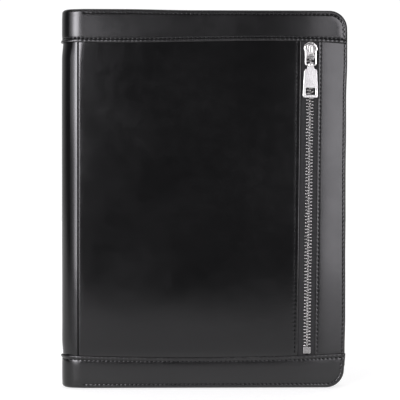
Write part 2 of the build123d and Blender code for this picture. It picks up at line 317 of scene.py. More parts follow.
def skin_surface(s, z, side):
    x, y, nx, ny = SKIN.at(s)
    h = skin_h(x, z, side)
    return np.stack([x + nx * h, y + ny * h, z + 0 * x], -1), x


def wear_of(dist, w=1.2):
    return np.exp(-np.clip(dist, 0, None) / w)


def front_skin(mat):
    zs = ranges((19.0, 315.0, PITCH / 4))
    s_x = SKIN.s_of_x
    cols = ranges((0, s_x(-116.0), 1.0), (s_x(-116.0), s_x(-107.0), 0.15), (s_x(-107.0), s_x(-95.0), 0.9),
                  (s_x(-95.0), s_x(76.0), 2.8), (s_x(76.0), s_x(SLIT[0]), 0.33))
    S, Z = np.meshgrid(cols, zs, indexing="ij")
    x, y, nx, ny = SKIN.at(S)
    shift = np.clip((x - 50.0) / (SLIT[0] - 50.0), 0, 1) * (slit_x(SLIT[0], Z) - SLIT[0])
    x = x + shift - 0.7 * np.clip((x - 50.0) / (SLIT[0] - 50.0), 0, 1)
    h = skin_h(x, Z, "front")
    v = np.stack([x + nx * h, y + ny * h, Z], -1).reshape(-1, 3)
    uv = np.stack([S, Z], -1).reshape(-1, 2) * 0.001
    wear = (wear_of(slit_x(SLIT[0], Z) - x) * 0.9 + 0.5 * np.exp(-np.abs(x - XC - 0.8) / 0.4)).reshape(-1)
    q = grid_faces(len(cols), len(zs))
    vv, ff, uu, ww = solid_sheet(v, q, 1.4, flat=lambda p: p[:, 0] < -XS + 1.0, uv=uv, wear=wear)
    return emit("front_leather", vv, ff, mat, uu, {"wear": ww})


def back_skin(mat):
    zs = ranges((19.0, 315.0, PITCH / 4))
    s_x = SKIN.s_of_x
    r, x_in, y_in = 1.8, XE - 12.0, -B_IN
    cols = ranges((0, s_x(-116.0), 1.0), (s_x(-116.0), s_x(-107.0), 0.15), (s_x(-107.0), s_x(-95.0), 0.9),
                  (s_x(-95.0), s_x(XS - 7.0), 3.2), (s_x(XS - 7.0), s_x(XS - r), 0.4))
    S, Z = np.meshgrid(cols, zs, indexing="ij")
    x, y, nx, ny = SKIN.at(S)
    h = skin_h(x, Z, "back")
    face = np.stack([x + nx * h, y + ny * h, Z], -1)
    # round the fore-edge and turn in
    prof = [(XS - r + r * math.sin(a), -HT + r * (1 - math.cos(a))) for a in np.linspace(0, math.pi / 2, 7)[1:]]
    ri = 1.2
    prof += [(XS, yy) for yy in np.linspace(-HT + r, y_in - ri, 4)[1:]]
    prof += [(XS - ri * (1 - math.cos(a)), y_in - ri * (1 - math.sin(a))) for a in np.linspace(0, math.pi / 2, 5)[1:]]
    prof += [(xx, y_in) for xx in np.linspace(XS - ri, x_in, 8)[1:]]
    prof = np.array(prof)
    hz = -0.25 * np.exp(-np.clip(ZT - zs, 0, None) / 3.0) - 0.25 * np.exp(-np.clip(zs - ZB, 0, None) / 3.0)
    turn = np.stack([np.repeat(prof[:, 0:1], len(zs), 1), np.repeat(prof[:, 1:2], len(zs), 1),
                     np.repeat(zs[None, :], len(prof), 0)], -1)
    fade = np.exp(-np.arange(len(prof)) / 3.0)[:, None]
    turn[:, :, 1] -= (hz[None, :] + waves(np.full(len(zs), XS - r), zs, 0.09, 5)[None, :]) * fade
    v = np.concatenate([face, turn]).reshape(-1, 3)
    seg = np.linalg.norm(np.diff(np.concatenate([[[XS - r, -HT]], prof]), axis=0), axis=1)
    su = cols[-1] + np.cumsum(seg)
    U = np.concatenate([S, np.repeat(su[:, None], len(zs), 1)])
    uv = np.stack([U, np.repeat(zs[None, :], len(U), 0)], -1).reshape(-1, 2) * 0.001
    wear = np.concatenate([0.5 * np.exp(-np.abs(x - XC - 0.8) / 0.4) + np.exp(-np.abs(x - (XS - 0.4)) / 1.2),
                           np.repeat(np.exp(-np.abs(su - cols[-1] - 2.0) / 1.5)[:, None], len(zs), 1)]).reshape(-1)
    q = grid_faces(len(U), len(zs))
    vv, ff, uu, ww = solid_sheet(v, q, 1.4, flat=lambda p: p[:, 0] < -XS + 1.0, uv=uv, wear=wear)
    vv[:, 1] *= -1
    return emit("back_leather", settle(vv), ff, mat, uu, {"wear": ww}, flip=True)


# ---- end bands ------------------------------------------------------------------------------------
def free_top(x):
    """Height of the upper band's free edge: not quite straight."""
    c = np.polyfit([-110, 0, 84.5, 124], [ZT - 0.6, ZT + 0.2, ZT + 0.7, ZT - 0.9], 3)
    return np.polyval(c, np.clip(x, -113, 127))


def free_bottom(x):
    c = np.polyfit([-113, -4, 84.5, 124], [ZB + 0.7, ZB - 1.0, ZB + 0.5, ZB + 2.2], 3)
    return np.polyval(c, np.clip(x, -116, 127))


def corner_dist(x, z, r):
    """Distance inwards from the outline (end at z = H, fore-edge at x = XE, corner radius r)."""
    cx, cz = XE - r, H - r
    inside = np.hypot(np.clip(x - cx, 0, None), np.clip(z - cz, 0, None))
    d_flat = np.minimum(XE - x, H - z)
    return np.where((x > cx) & (z > cz), r - inside, d_flat)


def perimeter(x, z, r, inset):
    """Arc length along the stitch line parallel to the outline."""
    cx, cz, rr = XE - r, H - r, r - inset
    ang = np.arctan2(x - cx, np.maximum(z - cz, 1e-6))
    return np.where(z < cz, cx + rr * math.pi / 2 + (cz - z), np.where(x > cx, cx + rr * ang, x))


EDGE_ST, FREE_ST = 3.6, 3.0


def band_drop(x, side):
    """The front cover's face falls away a little towards the fore-edge."""
    return 0.7 * smooth((x - 88.0) / 36.0) if side == "front" else 0.25 * smooth((x - 95.0) / 30.0)


def band_h(s, x, z, zf, r, side, spine_w):
    e = z - zf
    q = np.where(x > -104, corner_dist(x, z, r), H - z)
    h = 0.2 * smooth((e - 3.0) / 5.0) * smooth((q - 3.0) / 5.0)
    h = h + channel(e - FREE_ST, s, 0.36)
    h = h + 0.13 * np.exp(-((e - 1.2) / 0.7) ** 2) * (1 + 0.9 * bump_wave(s))
    on = smooth((x + 108) / 4)
    h = h + on * channel(q - EDGE_ST, perimeter(x, z, r, EDGE_ST), 0.34)
    h = h + (0.10 + 1.0 * spine_w) * np.exp(-(np.clip(e, 0, None) / 1.7) ** 2)
    h = h + waves(x + 300 * (np.asarray(zf) < 100), z, 0.08, 11, 45, 110)
    return h - band_drop(x, side)


def band_columns(r, r_e):
    """Columns of the band's face from the middle of the spine to the fore-edge."""
    cx = XE - r
    step = PITCH / 4
    s_end = float(BAND.s_of_x(84.0))
    s1 = ranges((0, s_end, step))
    x1 = BAND.at(s1)[0]
    cols = [(s, x, x, H) for s, x in zip(s1[:-1], x1[:-1])]
    # from here on the lower ends are spread evenly while the upper ends follow the outline
    arc = (r - r_e) * math.pi / 2
    total = (cx - 84.0) + arc
    n = int(round(total / step))
    x_low = np.linspace(84.0, XE - r_e, n + 1)
    for k in range(n + 1):
        d = total * k / n
        if d <= cx - 84.0:
            xt, zt = 84.0 + d, H - r_e
        else:
            a = (d - (cx - 84.0)) / (r - r_e)
            xt, zt = cx + (r - r_e) * math.sin(a), H - r + (r - r_e) * math.cos(a)
        cols.append((float(BAND.s_of_x(x_low[k])), x_low[k], xt, zt))
    return cols


def band(name, mat, end, side):
    """One end band of one half: face, over the end and the fore-edge, and turned in."""
    r = RT if end == "top" else RB
    zfree = (lambda x: free_top(x)) if end == "top" else (lambda x: H - free_bottom(x))
    depth = (HT + BT + F_IN) if side == "front" else (HT + BT - B_IN)     # 9.3 or 5.3
    r_cov, r_spn = 2.0, 3.0
    low = np.array([0, .35, .75, 1.2, 1.7, 2.2, 2.6, 3.0, 3.4, 3.8, 4.5, 5.6, 7.2])
    high = np.array([0, .5, .9, 1.3, 1.6, 1.9, 2.3, 2.8, 3.6, 5.0])
    cols = band_columns(r, r_cov)
    P, UV, WR, last = [], [], [], []
    for s, xb, xt, zt in cols:
        spine_w = float(smooth((-112.0 - xb) / 9.0))
        r_e = r_cov + (r_spn - r_cov) * float(smooth((-104 - xb) / 9.0))
        top = zt - r_e if zt == H else zt
        zf = float(zfree(xb))
        L = math.hypot(xt - xb, top - zf)
        k = min(1.0, 0.86 * L / (low[-1] + high[-1]))
        mid = np.linspace(low[-1] * k, L - high[-1] * k, 7)[1:-1]
        d = np.concatenate([low * k, mid, L - high[::-1] * k]) / L
        x = xb + (xt - xb) * d
        z = zf + (top - zf) * d
        ss = s + (x - xb)
        px, py, nx, ny = BAND.at(ss)
        h = band_h(ss, x, z, zf, r, side, spine_w)
        P.append(np.stack([px + nx * h, py + ny * h, z], -1))
        UV.append(np.stack([ss, z], -1))
        WR.append(np.maximum(wear_of(z - zf, 0.9) * 0.9, 0.35 * np.exp(-np.abs(corner_dist(x, z, r) - 1.5) / 1.5)))
        last.append((s, xb, xt, r_e, top))
    nv = len(P[0])
    P, UV, WR = np.array(P), np.array(UV), np.array(WR)
    nc = len(cols)
    face = grid_faces(nc, nv)
    # boundary the wrap starts from: the upper end of every column, then down the last column
    ring = [(k, nv - 1) for k in range(nc)] + [(nc - 1, j) for j in range(nv - 2, -1, -1)]
    frames = []
    cx, cz = XE - r, H - r
    for k, j in ring:
        s, xb, xt, r_e, top = last[k]
        b = P[k, j]
        _, _, nx, ny = BAND.at(s)
        if j < nv - 1:
            o, dirn = np.array([1.0, 0, 0]), np.array([0, 1.0, 0])
        elif xt > cx:
            a = math.atan2(xt - cx, top - cz)
            o, dirn = np.array([math.sin(a), 0, math.cos(a)]), np.array([0, 1.0, 0])
        else:
            o, dirn = np.array([0, 0, 1.0]), np.array([-nx, -ny, 0])
        w_sp = float(smooth((-106 - xb) / 5.0))
        dep = depth + (4.2 - depth) * w_sp
        # the boundary point may lie off the nominal face; the wrap starts from where it is
        nominal = -(HT + BT)
        off = 0.0
        if w_sp == 0:
            off = b[1] - nominal
        ro = r_e
        ri = min(1.3, dep - ro - 0.4) if dep - ro > 1.0 else 0.6
        frames.append((b, o, dirn, ro, ri, dep - off, w_sp))
    angs = np.linspace(0, math.pi / 2, 8)[1:]
    rows = []
    for b, o, dirn, ro, ri, dep, w_sp in frames:
        pts = [b + o * ro * math.sin(a) + dirn * ro * (1 - math.cos(a)) for a in angs]
        c = b + o * ro
        for t in np.linspace(ro, dep - ri, 4)[1:]:
            pts.append(c + dirn * t)
        for a in np.linspace(0, math.pi / 2, 5)[1:]:
            pts.append(c + dirn * (dep - ri + ri * math.sin(a)) - o * ri * (1 - math.cos(a)))
        leg = 12.0 - ri
        for t in np.linspace(0, leg, 6)[1:]:
            pts.append(c - o * (ri + t) + dirn * dep)
        rows.append(pts)
    rows = np.array(rows)                       # ring x profile x 3
    nr, npf = rows.shape[0], rows.shape[1]
    base = nc * nv
    ids = [k * nv + j for k, j in ring]
    wrap = []
    for i in range(nr - 1):
        seq0 = [ids[i]] + [base + i * npf + m for m in range(npf)]
        seq1 = [ids[i + 1]] + [base + (i + 1) * npf + m for m in range(npf)]
        for m in range(npf):
            wrap.append([seq0[m], seq1[m], seq1[m + 1], seq0[m + 1]])
    seg = np.concatenate([np.zeros((nr, 1)), np.cumsum(np.linalg.norm(np.diff(np.concatenate(
        [np.array([f[0] for f in frames])[:, None, :], rows], 1), axis=1), axis=2), axis=1)], 1)[:, 1:]
    v = np.concatenate([P.reshape(-1, 3), rows.reshape(-1, 3)])
    base_uv = np.array([UV[k, j] for k, j in ring])
    along = np.array([perimeter(f[0][0], f[0][2], r, 2.0) if f[6] == 0 else base_uv[i, 0] for i, f in enumerate(frames)])
    wrap_uv = np.stack([np.repeat(base_uv[:, 0:1], npf, 1), H + seg], -1)
    wrap_uv[nc:, :, 0] = base_uv[nc - 1, 0] + 2 + (cz + 40 - np.array([f[0][2] for f in frames[nc:]]))[:, None]
    uv = np.concatenate([UV.reshape(-1, 2), wrap_uv.reshape(-1, 2)]) * 0.001
    wr = np.concatenate([WR.reshape(-1), (0.55 * np.exp(-np.abs(seg - 1.8) / 1.2)).reshape(-1)])
    q = np.concatenate([face, np.array(wrap, int)])
    vv, ff, uu, ww = solid_sheet(v, q, 0.95, flat=lambda p: p[:, 0] < -XE + 1.2, uv=uv, wear=wr)
    flip = False
    if end == "bottom":
        vv[:, 2] = H - vv[:, 2]
        flip = not flip
    if side == "back":
        vv[:, 1] *= -1
        flip = not flip
    return emit(name, settle(vv, end), ff, mat, uu, {"wear": ww}, flip=flip)


# ---- fore-edge strip of the front cover -------------------------------------------------------------
XF = XS - 0.95      # the front strip stops just short of the turned edge below it


def strip_y(x, z):
    base = -HT + 1.35 * smooth((x - 99.0) / 34.0) * 1.35
    return base


def strip_h(x, z):
    dl = x - slit_x(SLIT[1], z)
    h = channel(dl - LIP_R, z, 0.13, 0.7) + 0.06 * np.exp(-((dl - 1.1) / 0.8) ** 2) * (1 + 0.9 * bump_wave(z))
    h = h - 0.25 * np.exp(-np.clip(dl, 0, None) / 0.5)
    h = h + channel(x - (XE - EDGE_ST), z) + waves(x, z, 0.07, 21, 50, 120)
    h = h - 0.25 * np.exp(-np.clip(ZT - z, 0, None) / 3.0) - 0.25 * np.exp(-np.clip(z - ZB, 0, None) / 3.0)
    return h


def front_strip(mat):
    zs = ranges((19.5, 315.0, PITCH / 4))
    u = np.concatenate([np.linspace(0, 0.30, 22)[:-1], np.linspace(0.30, 0.80, 10)[:-1], np.linspace(0.80, 1, 16)])
    U, Z = np.meshgrid(u, zs, indexing="ij")
    x0 = slit_x(SLIT[1], Z) + 0.65
    x = x0 + (XF - 0.65 - x0) * U
    y = strip_y(x, Z) - strip_h(x, Z)
    v = np.stack([x, y, Z], -1).reshape(-1, 3)
    uv = np.stack([x, Z], -1).reshape(-1, 2) * 0.001
    wear = np.maximum(wear_of(x - slit_x(SLIT[1], Z)), wear_of(XF - x) * 0.8).reshape(-1)
    q = grid_faces(len(u), len(zs))
    vv, ff, uu, ww = solid_sheet(v, q, 1.3, uv=uv, wear=wear)
    return emit("front_edge_leather", settle(vv), ff, mat, uu, {"wear": ww})


def front_turning(mat):
    """Leather turned round the fore-edge under the strip."""
    zs = ranges((19.5, 315.0, PITCH / 2))
    y0 = -HT + 1.8 + 1.35
    prof = [(XS - 6.0, y0 + 0.05), (XS - 3.0, y0), (XS - 1.2, y0)]
    r = 0.85
    prof += [(XS - r + r * math.sin(a), y0 + r * (1 - math.cos(a))) for a in np.linspace(0, math.pi / 2, 6)]
    prof += [(XS, yy) for yy in np.linspace(y0 + r, F_IN - 1.2, 4)[1:]]
    prof += [(XS - 1.2 * (1 - math.cos(a)), F_IN - 1.2 * (1 - math.sin(a))) for a in np.linspace(0, math.pi / 2, 5)[1:]]
    prof += [(xx, F_IN) for xx in np.linspace(XS - 1.2, XE - 12.0, 7)[1:]]
    prof = np.array(prof)
    v = np.stack([np.repeat(prof[:, 0:1], len(zs), 1), np.repeat(prof[:, 1:2], len(zs), 1),
                  np.repeat(zs[None, :], len(prof), 0)], -1)
    wob = waves(np.zeros(len(zs)), zs, 0.08, 31, 30, 90)
    v[:9, :, 0] += wob[None, :] * 0.6
    su = np.concatenate([[0], np.cumsum(np.linalg.norm(np.diff(prof, axis=0), axis=1))])
    uv = np.stack([np.repeat(su[:, None], len(zs), 1), np.repeat(zs[None, :], len(prof), 0)], -1).reshape(-1, 2) * 0.001
    wear = np.repeat(np.exp(-np.abs(su - 5.5) / 1.0)[:, None], len(zs), 1).reshape(-1)
    q = grid_faces(len(prof), len(zs))
    vv, ff, uu, ww = solid_sheet(v.reshape(-1, 3), q, 0.8, uv=uv, wear=wear)
    return emit("front_edge_turning", settle(vv), ff, mat, uu, {"wear": ww})


# ---- stitches -------------------------------------------------------------------------------------
def stitches(name, centres, tangents, norms, mat, length=2.85, radius=0.40, sink=0.46, lift=0.10):
    """Short lengths of thread that dive into the leather at both ends."""
    c, t, n = (np.array(a, float) for a in (centres, tangents, norms))
    t /= np.linalg.norm(t, axis=1, keepdims=True)
    n = n - t * np.sum(n * t, axis=1, keepdims=True)
    n /= np.linalg.norm(n, axis=1, keepdims=True)
    b = np.cross(t, n)
    us = np.array([-1.0, -0.86, -0.5, 0.0, 0.5, 0.86, 1.0])
    rad = radius * np.array([0.35, 0.8, 1.0, 1.04, 1.0, 0.8, 0.35])
    hh = lift - sink * np.abs(us) ** 3
    m = 6
    ang = np.arange(m) * 2 * np.pi / m
    ring = []
    for u, r, h in zip(us, rad, hh):
        axis = c + t * (u * length / 2) + n * h
        for a in ang:
            ring.append(axis + n * (r * math.cos(a)) + b * (r * math.sin(a)))
    v = np.stack(ring, 1)                        # stitch x ring point
    per = v.shape[1]
    one = []
    for k in range(len(us) - 1):
        for i in range(m):
            j = (i + 1) % m
            one.append([k * m + i, (k + 1) * m + i, (k + 1) * m + j, k * m + j])
    faces = []
    for s in range(len(c)):
        o = s * per
        faces += [[o + i for i in f] for f in one]
        faces.append([o + i for i in range(m)])
        faces.append([o + (len(us) - 1) * m + i for i in range(m)][::-1])
    uv = np.stack([np.tile(np.repeat(us, m), len(c)) * length / 2, np.tile(np.tile(ang, len(us)), len(c))], 1)
    return emit(name, v.reshape(-1, 3), faces, mat, uv * [0.001, 0.1])


def band_line(end, side, which):
    """Stitch centres of a band: along its free edge, or along the end and round the corner."""
    r = RT if end == "top" else RB
    zfree = free_top if end == "top" else (lambda x: H - free_bottom(x))
    C, T, N = [], [], []
    if which == "free":
        s_hi = float(BAND.s_of_x(XE - 4.6))
        for s in np.arange(PITCH / 2, s_hi, PITCH):
            x, y, nx, ny = (float(a) for a in BAND.at(s))
            zf = float(zfree(x))
            sw = float(smooth((-112.0 - x) / 9.0))
            h = float(band_h(np.array(s), np.array(x), np.array(zf + FREE_ST), zf, r, side, sw))
            C.append((x + nx * h, y + ny * h, zf + FREE_ST))
            slope = (float(zfree(x + 1)) - float(zfree(x - 1))) / 2
            T.append((-ny, nx, slope))
            N.append((nx, ny, 0))
    else:
        cx, cz, rr = XE - r, H - r, r - EDGE_ST
        p0, p1 = -102.0, cx + rr * math.pi / 2 + (cz - float(zfree(XE))) - FREE_ST - 1.2
        start = math.ceil(p0 / PITCH) * PITCH + PITCH / 2
        for p in np.arange(start, p1, PITCH):
            if p < cx:
                x, z, tx, tz = p, H - EDGE_ST, 1, 0
            elif p < cx + rr * math.pi / 2:
                a = (p - cx) / rr
                x, z, tx, tz = cx + rr * math.sin(a), cz + rr * math.cos(a), math.cos(a), -math.sin(a)
            else:
                x, z, tx, tz = cx + rr, cz - (p - cx - rr * math.pi / 2), 0, -1
            s = float(BAND.s_of_x(x))
            _, y, nx, ny = (float(a) for a in BAND.at(s))
            h = float(band_h(np.array(s), np.array(x), np.array(z), float(zfree(x)), r, side, 0.0))
            C.append((x + nx * h, y + ny * h, z))
            T.append((tx, 0, tz))
            N.append((nx, ny, 0))
    C, T, N = np.array(C), np.array(T, float), np.array(N, float)
    if end == "bottom":
        C[:, 2] = H - C[:, 2]
        T[:, 2] *= -1
    if side == "back":
        C[:, 1] *= -1
        T[:, 1] *= -1
        N[:, 1] *= -1
    return settle(C, end), T, N


def line_z(x_fn, y_fn, z0, z1, n=(0, -1, 0)):
    zc = np.arange(math.ceil(z0 / PITCH) * PITCH + PITCH / 2, z1, PITCH)
    x = x_fn(zc)
    y = y_fn(x, zc)
    T = np.stack([x_fn(zc + 0.5) - x_fn(zc - 0.5), np.zeros(len(zc)), np.ones(len(zc))], 1)
    return np.stack([x, y, zc], 1), T, np.repeat([n], len(zc), 0)


# ---- plates, tubes and sweeps -----------------------------------------------------------------------
def inset_loop(p, d):
    """Moves a counter-clockwise loop inwards by d (outwards for a clockwise one)."""
    a, b = p - np.roll(p, 1, 0), np.roll(p, -1, 0) - p
    a /= np.linalg.norm(a, axis=1, keepdims=True)
    b /= np.linalg.norm(b, axis=1, keepdims=True)
    na, nb = np.stack([-a[:, 1], a[:, 0]], 1), np.stack([-b[:, 1], b[:, 0]], 1)
    n = na + nb
    n /= np.linalg.norm(n, axis=1, keepdims=True)
    return p + n * (d / np.maximum(np.sum(n * na, axis=1), 0.45))[:, None]


def round_poly(pts, r, n=4):
    """Corners of a polygon rounded. r is one radius or one for each corner."""
    pts = np.array(pts, float)
    out = []
    for i, p in enumerate(pts):
        ri = r[i] if hasattr(r, "__len__") else r
        a, b = pts[i - 1] - p, pts[(i + 1) % len(pts)] - p
        la, lb = np.linalg.norm(a), np.linalg.norm(b)
        a, b = a / la, b / lb
        half = math.acos(float(np.clip(np.dot(a, b), -1, 1))) / 2
        d = ri / math.tan(half) if ri > 0 else 0
        if d < 1e-6 or abs(half - math.pi / 2) < 1e-3:
            out.append(p)
            continue
        d = min(d, la * 0.49, lb * 0.49)
        rr = d * math.tan(half)
        c = p + (a + b) / np.linalg.norm(a + b) * (rr / math.sin(half))
        s, e = p + a * d - c, p + b * d - c
        sweep = math.acos(float(np.clip(np.dot(s, e) / rr ** 2, -1, 1)))
        sign = 1 if s[0] * e[1] - s[1] * e[0] > 0 else -1
        for k in range(n + 1):
            t = sign * sweep * k / n
            out.append(c + np.array([s[0] * math.cos(t) - s[1] * math.sin(t), s[0] * math.sin(t) + s[1] * math.cos(t)]))
    return np.array(out)


def plate_mesh(loops, y0, y1, bevel, steps=3):
    """Plate in the x-z plane from y0 (front) to y1, edges rounded. Loops are outer counter-clockwise, holes
    clockwise, as seen from the front."""
    V, F, flat = [], [], []
    prof = [(bevel * (1 - math.sin(a)), y0 + bevel * (1 - math.cos(a))) for a in np.linspace(0, math.pi / 2, steps + 1)]
    prof += [(i, y0 + y1 - y) for i, y in prof[::-1]]
    base = 0
    caps = [[], []]
    for lp in loops:
        lp = np.array(lp, float)
        n = len(lp)
        start = base
        for k, (ins, y) in enumerate(prof):
            q = inset_loop(lp, ins)
            V += [(a, y, b) for a, b in q]
            if k:
                for i in range(n):
                    j = (i + 1) % n
                    F.append([base - n + i, base - n + j, base + j, base + i][::-1])
                    flat.append(False)
            base += n
        caps[0].append((start, n))
        caps[1].append((base - n, n))
    for side in (0, 1):
        polys = [[Vector((V[s + i][0], V[s + i][2], 0)) for i in range(n)] for s, n in caps[side]]
        ids = [s + i for s, n in caps[side] for i in range(n)]
        for tri in geometry.tessellate_polygon(polys):
            t = [ids[i] for i in tri]
            p = [V[i] for i in t]
            area = (p[1][0] - p[0][0]) * (p[2][2] - p[0][2]) - (p[2][0] - p[0][0]) * (p[1][2] - p[0][2])
            want = area > 0 if side == 0 else area < 0
            F.append(t if want else t[::-1])
            flat.append(True)
    return V, F, flat


def join_meshes(*parts):
    V, F, flat = [], [], []
    for v, f, fl in parts:
        o = len(V)
        V += [tuple(p) for p in v]
        F += [[i + o for i in face] for face in f]
        flat += list(fl)
    return V, F, flat


def metal(name, mesh, mat, lean=True, sharp=40):
    V, F, flat = mesh
    v = np.array(V, float)
    ob = emit(name, tilt(v) if lean else v, F, mat, sharp=None)
    ob.data.polygons.foreach_set("use_smooth", [not f for f in flat])
    bm = bmesh.new()
    bm.from_mesh(ob.data)
    bmesh.ops.recalc_face_normals(bm, faces=bm.faces)
    bm.to_mesh(ob.data)
    bm.free()
    return ob


def tube(path, r, n=14, caps=True):
    """Round wire along a list of points."""
    p = np.array(path, float)
    t = np.gradient(p, axis=0)
    t /= np.linalg.norm(t, axis=1, keepdims=True)
    ref = np.array([0, 1.0, 0])
    V, F, flat = [], [], []
    for c, d in zip(p, t):
        u = ref - d * np.dot(ref, d)
        u /= np.linalg.norm(u)
        w = np.cross(d, u)
        V += [tuple(c + r * (u * math.cos(a) + w * math.sin(a))) for a in np.arange(n) * 2 * math.pi / n]
    for k in range(len(p) - 1):
        for i in range(n):
            j = (i + 1) % n
            F.append([k * n + i, k * n + j, (k + 1) * n + j, (k + 1) * n + i])
            flat.append(False)
    if caps:
        F.append(list(range(n))[::-1])
        F.append([(len(p) - 1) * n + i for i in range(n)])
        flat += [True, True]
    return V, F, flat


def box_mesh(x0, x1, y0, y1, z0, z1, bevel=0.2):
    return plate_mesh([round_poly([(x0, z0), (x1, z0), (x1, z1), (x0, z1)], bevel, 3)], y0, y1, bevel)


def swept_strip(name, section, zs, mat, closed=True, lean=False, uvx=None):
    """A closed cross-section in (x, y), counter-clockwise from above, carried up through zs."""
    sec = np.array(section, float)
    n, m = len(sec), len(zs)
    v = np.stack([np.repeat(sec[None, :, 0], m, 0), np.repeat(sec[None, :, 1], m, 0),
                  np.repeat(np.asarray(zs, float)[:, None], n, 1)], -1)
    F = []
    for k in range(m - 1):
        for i in range(n):
            j = (i + 1) % n
            F.append([k * n + i, k * n + j, (k + 1) * n + j, (k + 1) * n + i])
    F.append(list(range(n))[::-1])
    F.append([(m - 1) * n + i for i in range(n)])
    su = np.concatenate([[0], np.cumsum(np.linalg.norm(np.diff(sec, axis=0), axis=1))])
    uv = np.stack([np.repeat(su[None, :], m, 0), np.repeat(np.asarray(zs, float)[:, None], n, 1)], -1).reshape(-1, 2)
    p = v.reshape(-1, 3)
    return emit(name, tilt(p) if lean else p, F, mat, uv * 0.001, sharp=50)


def panel_sheet(name, x0, x1, z0, z1, y, t, mat, facing=1, step=4.0, wav=0.0, seed=1, extra=None, corner=0.0):
    """A flat lining or leather panel whose shown face is at y, looking towards facing along Y."""
    nx, nz = max(2, int((x1 - x0) / step)), max(2, int((z1 - z0) / step))
    xs, zs = np.linspace(x0, x1, nx + 1), np.linspace(z0, z1, nz + 1)
    X, Z = np.meshgrid(xs, zs, indexing="ij")
    edge = np.minimum(np.minimum(X - x0, x1 - X), np.minimum(Z - z0, z1 - Z))
    h = waves(X, Z, wav, seed, 30, 90) * smooth(edge / 12.0) if wav else 0 * X
    if extra is not None:
        h = h + extra(X, Z)
    if corner:
        # pulls the corner points in to a radius
        for cx, cz in ((x0 + corner, z0 + corner), (x1 - corner, z0 + corner), (x0 + corner, z1 - corner),
                       (x1 - corner, z1 - corner)):
            sx, sz = (1 if cx > (x0 + x1) / 2 else -1), (1 if cz > (z0 + z1) / 2 else -1)
            inx, inz = (X - cx) * sx, (Z - cz) * sz
            m = (inx > 0) & (inz > 0)
            r = np.hypot(inx, inz)
            mx = np.maximum(inx, inz)
            k = np.where(m & (r > 1e-6), mx / np.maximum(r, 1e-6), 1.0)
            X = np.where(m, cx + (X - cx) * k, X)
            Z = np.where(m, cz + (Z - cz) * k, Z)
    v = np.stack([X, y + facing * h, Z], -1).reshape(-1, 3)
    q = grid_faces(nx + 1, nz + 1)
    if facing > 0:
        q = q[:, ::-1]
    uv = np.stack([X, Z], -1).reshape(-1, 2) * 0.001
    vv, ff, uu, ww = solid_sheet(v, q, t, uv=uv, wear=wear_of(edge, 1.5).reshape(-1))
    return emit(name, vv, ff, mat, uu, {"wear": ww})


# ---- zip ------------------------------------------------------------------------------------------
TAPE_Y = -12.35
NOSE_Z, TAIL_Z, LINK_Z, TAB_Z, PIVOT_Y = 305.7, 290.8, 298.2, 285.2, -16.35


def zip_tape(name, s, mat):
    """Woven tape with a corded inner edge and fine ribs along it."""
    d = np.concatenate([[1.2], np.linspace(1.35, 2.9, 8), np.arange(3.1, 16.0, 0.2), [16.0]])
    top = np.zeros(len(d))
    bead = (d > 1.2) & (d < 3.0)
    top[bead] = 0.55 * np.sqrt(np.clip(1 - ((d[bead] - 2.1) / 0.95) ** 2, 0, 1))
    ribs = d >= 3.1
    top[ribs] = 0.07 * (0.5 + 0.5 * np.cos(2 * np.pi * d[ribs] / 0.8)) + 0.16 * np.exp(-((d[ribs] - 5.2) / 0.5) ** 2)
    front = [(ZIPX + s * a, TAPE_Y - 0.25 - h) for a, h in zip(d, top)]
    back = [(ZIPX + s * a, TAPE_Y + 0.25) for a in (16.0, 3.0, 1.2)]
    sec = front + back
    if s < 0:
        sec = sec[::-1]
    return swept_strip(name, sec, np.linspace(12.2, 321.8, 60), mat, lean=True)


def zip_teeth(name, s, mat):
    parts = []
    z = 36.2 + 0.9 + (0.0 if s < 0 else 2.86 / 2)
    out = [(3.05, -0.48), (3.05, 0.48), (1.35, 0.52), (0.75, 0.36), (0.35, 0.36), (-0.1, 0.56), (-0.62, 0.54),
           (-0.85, 0.22), (-0.85, -0.22), (-0.62, -0.54), (-0.1, -0.56), (0.35, -0.36), (0.75, -0.36), (1.35, -0.52)]
    while z < 296.4:
        lp = np.array([(ZIPX + s * a, z + b) for a, b in out])
        area = np.sum(lp[:, 0] * np.roll(lp[:, 1], -1) - np.roll(lp[:, 0], -1) * lp[:, 1])
        if area < 0:
            lp = lp[::-1]
        parts.append(plate_mesh([lp], TAPE_Y - 1.5, TAPE_Y + 1.35, 0.24, 2))
        # raised pip on the head
        hx = ZIPX + s * 0.05
        parts.append(plate_mesh([round_poly([(hx - 0.42, z - 0.3), (hx + 0.42, z - 0.3), (hx + 0.42, z + 0.3),
                                             (hx - 0.42, z + 0.3)], 0.24, 2)], TAPE_Y - 1.56, TAPE_Y - 1.3, 0.1, 2))
        z += 2.86
    return metal(name, join_meshes(*parts), mat)


def bottom_stop(mat):
    lp = round_poly([(ZIPX - 3.4, 30.0), (ZIPX + 3.4, 30.0), (ZIPX + 3.4, 36.2), (ZIPX - 3.4, 36.2)], 0.8, 4)
    parts = [plate_mesh([lp], -13.9, -10.8, 0.45)]
    for zc in (31.5, 33.1, 34.7):
        parts.append(plate_mesh([round_poly([(ZIPX - 2.9, zc - 0.45), (ZIPX + 2.9, zc - 0.45), (ZIPX + 2.9, zc + 0.45),
                                             (ZIPX - 2.9, zc + 0.45)], 0.4, 3)], -14.3, -13.6, 0.35))
    return metal("zip_bottom_clip", join_meshes(*parts), mat)


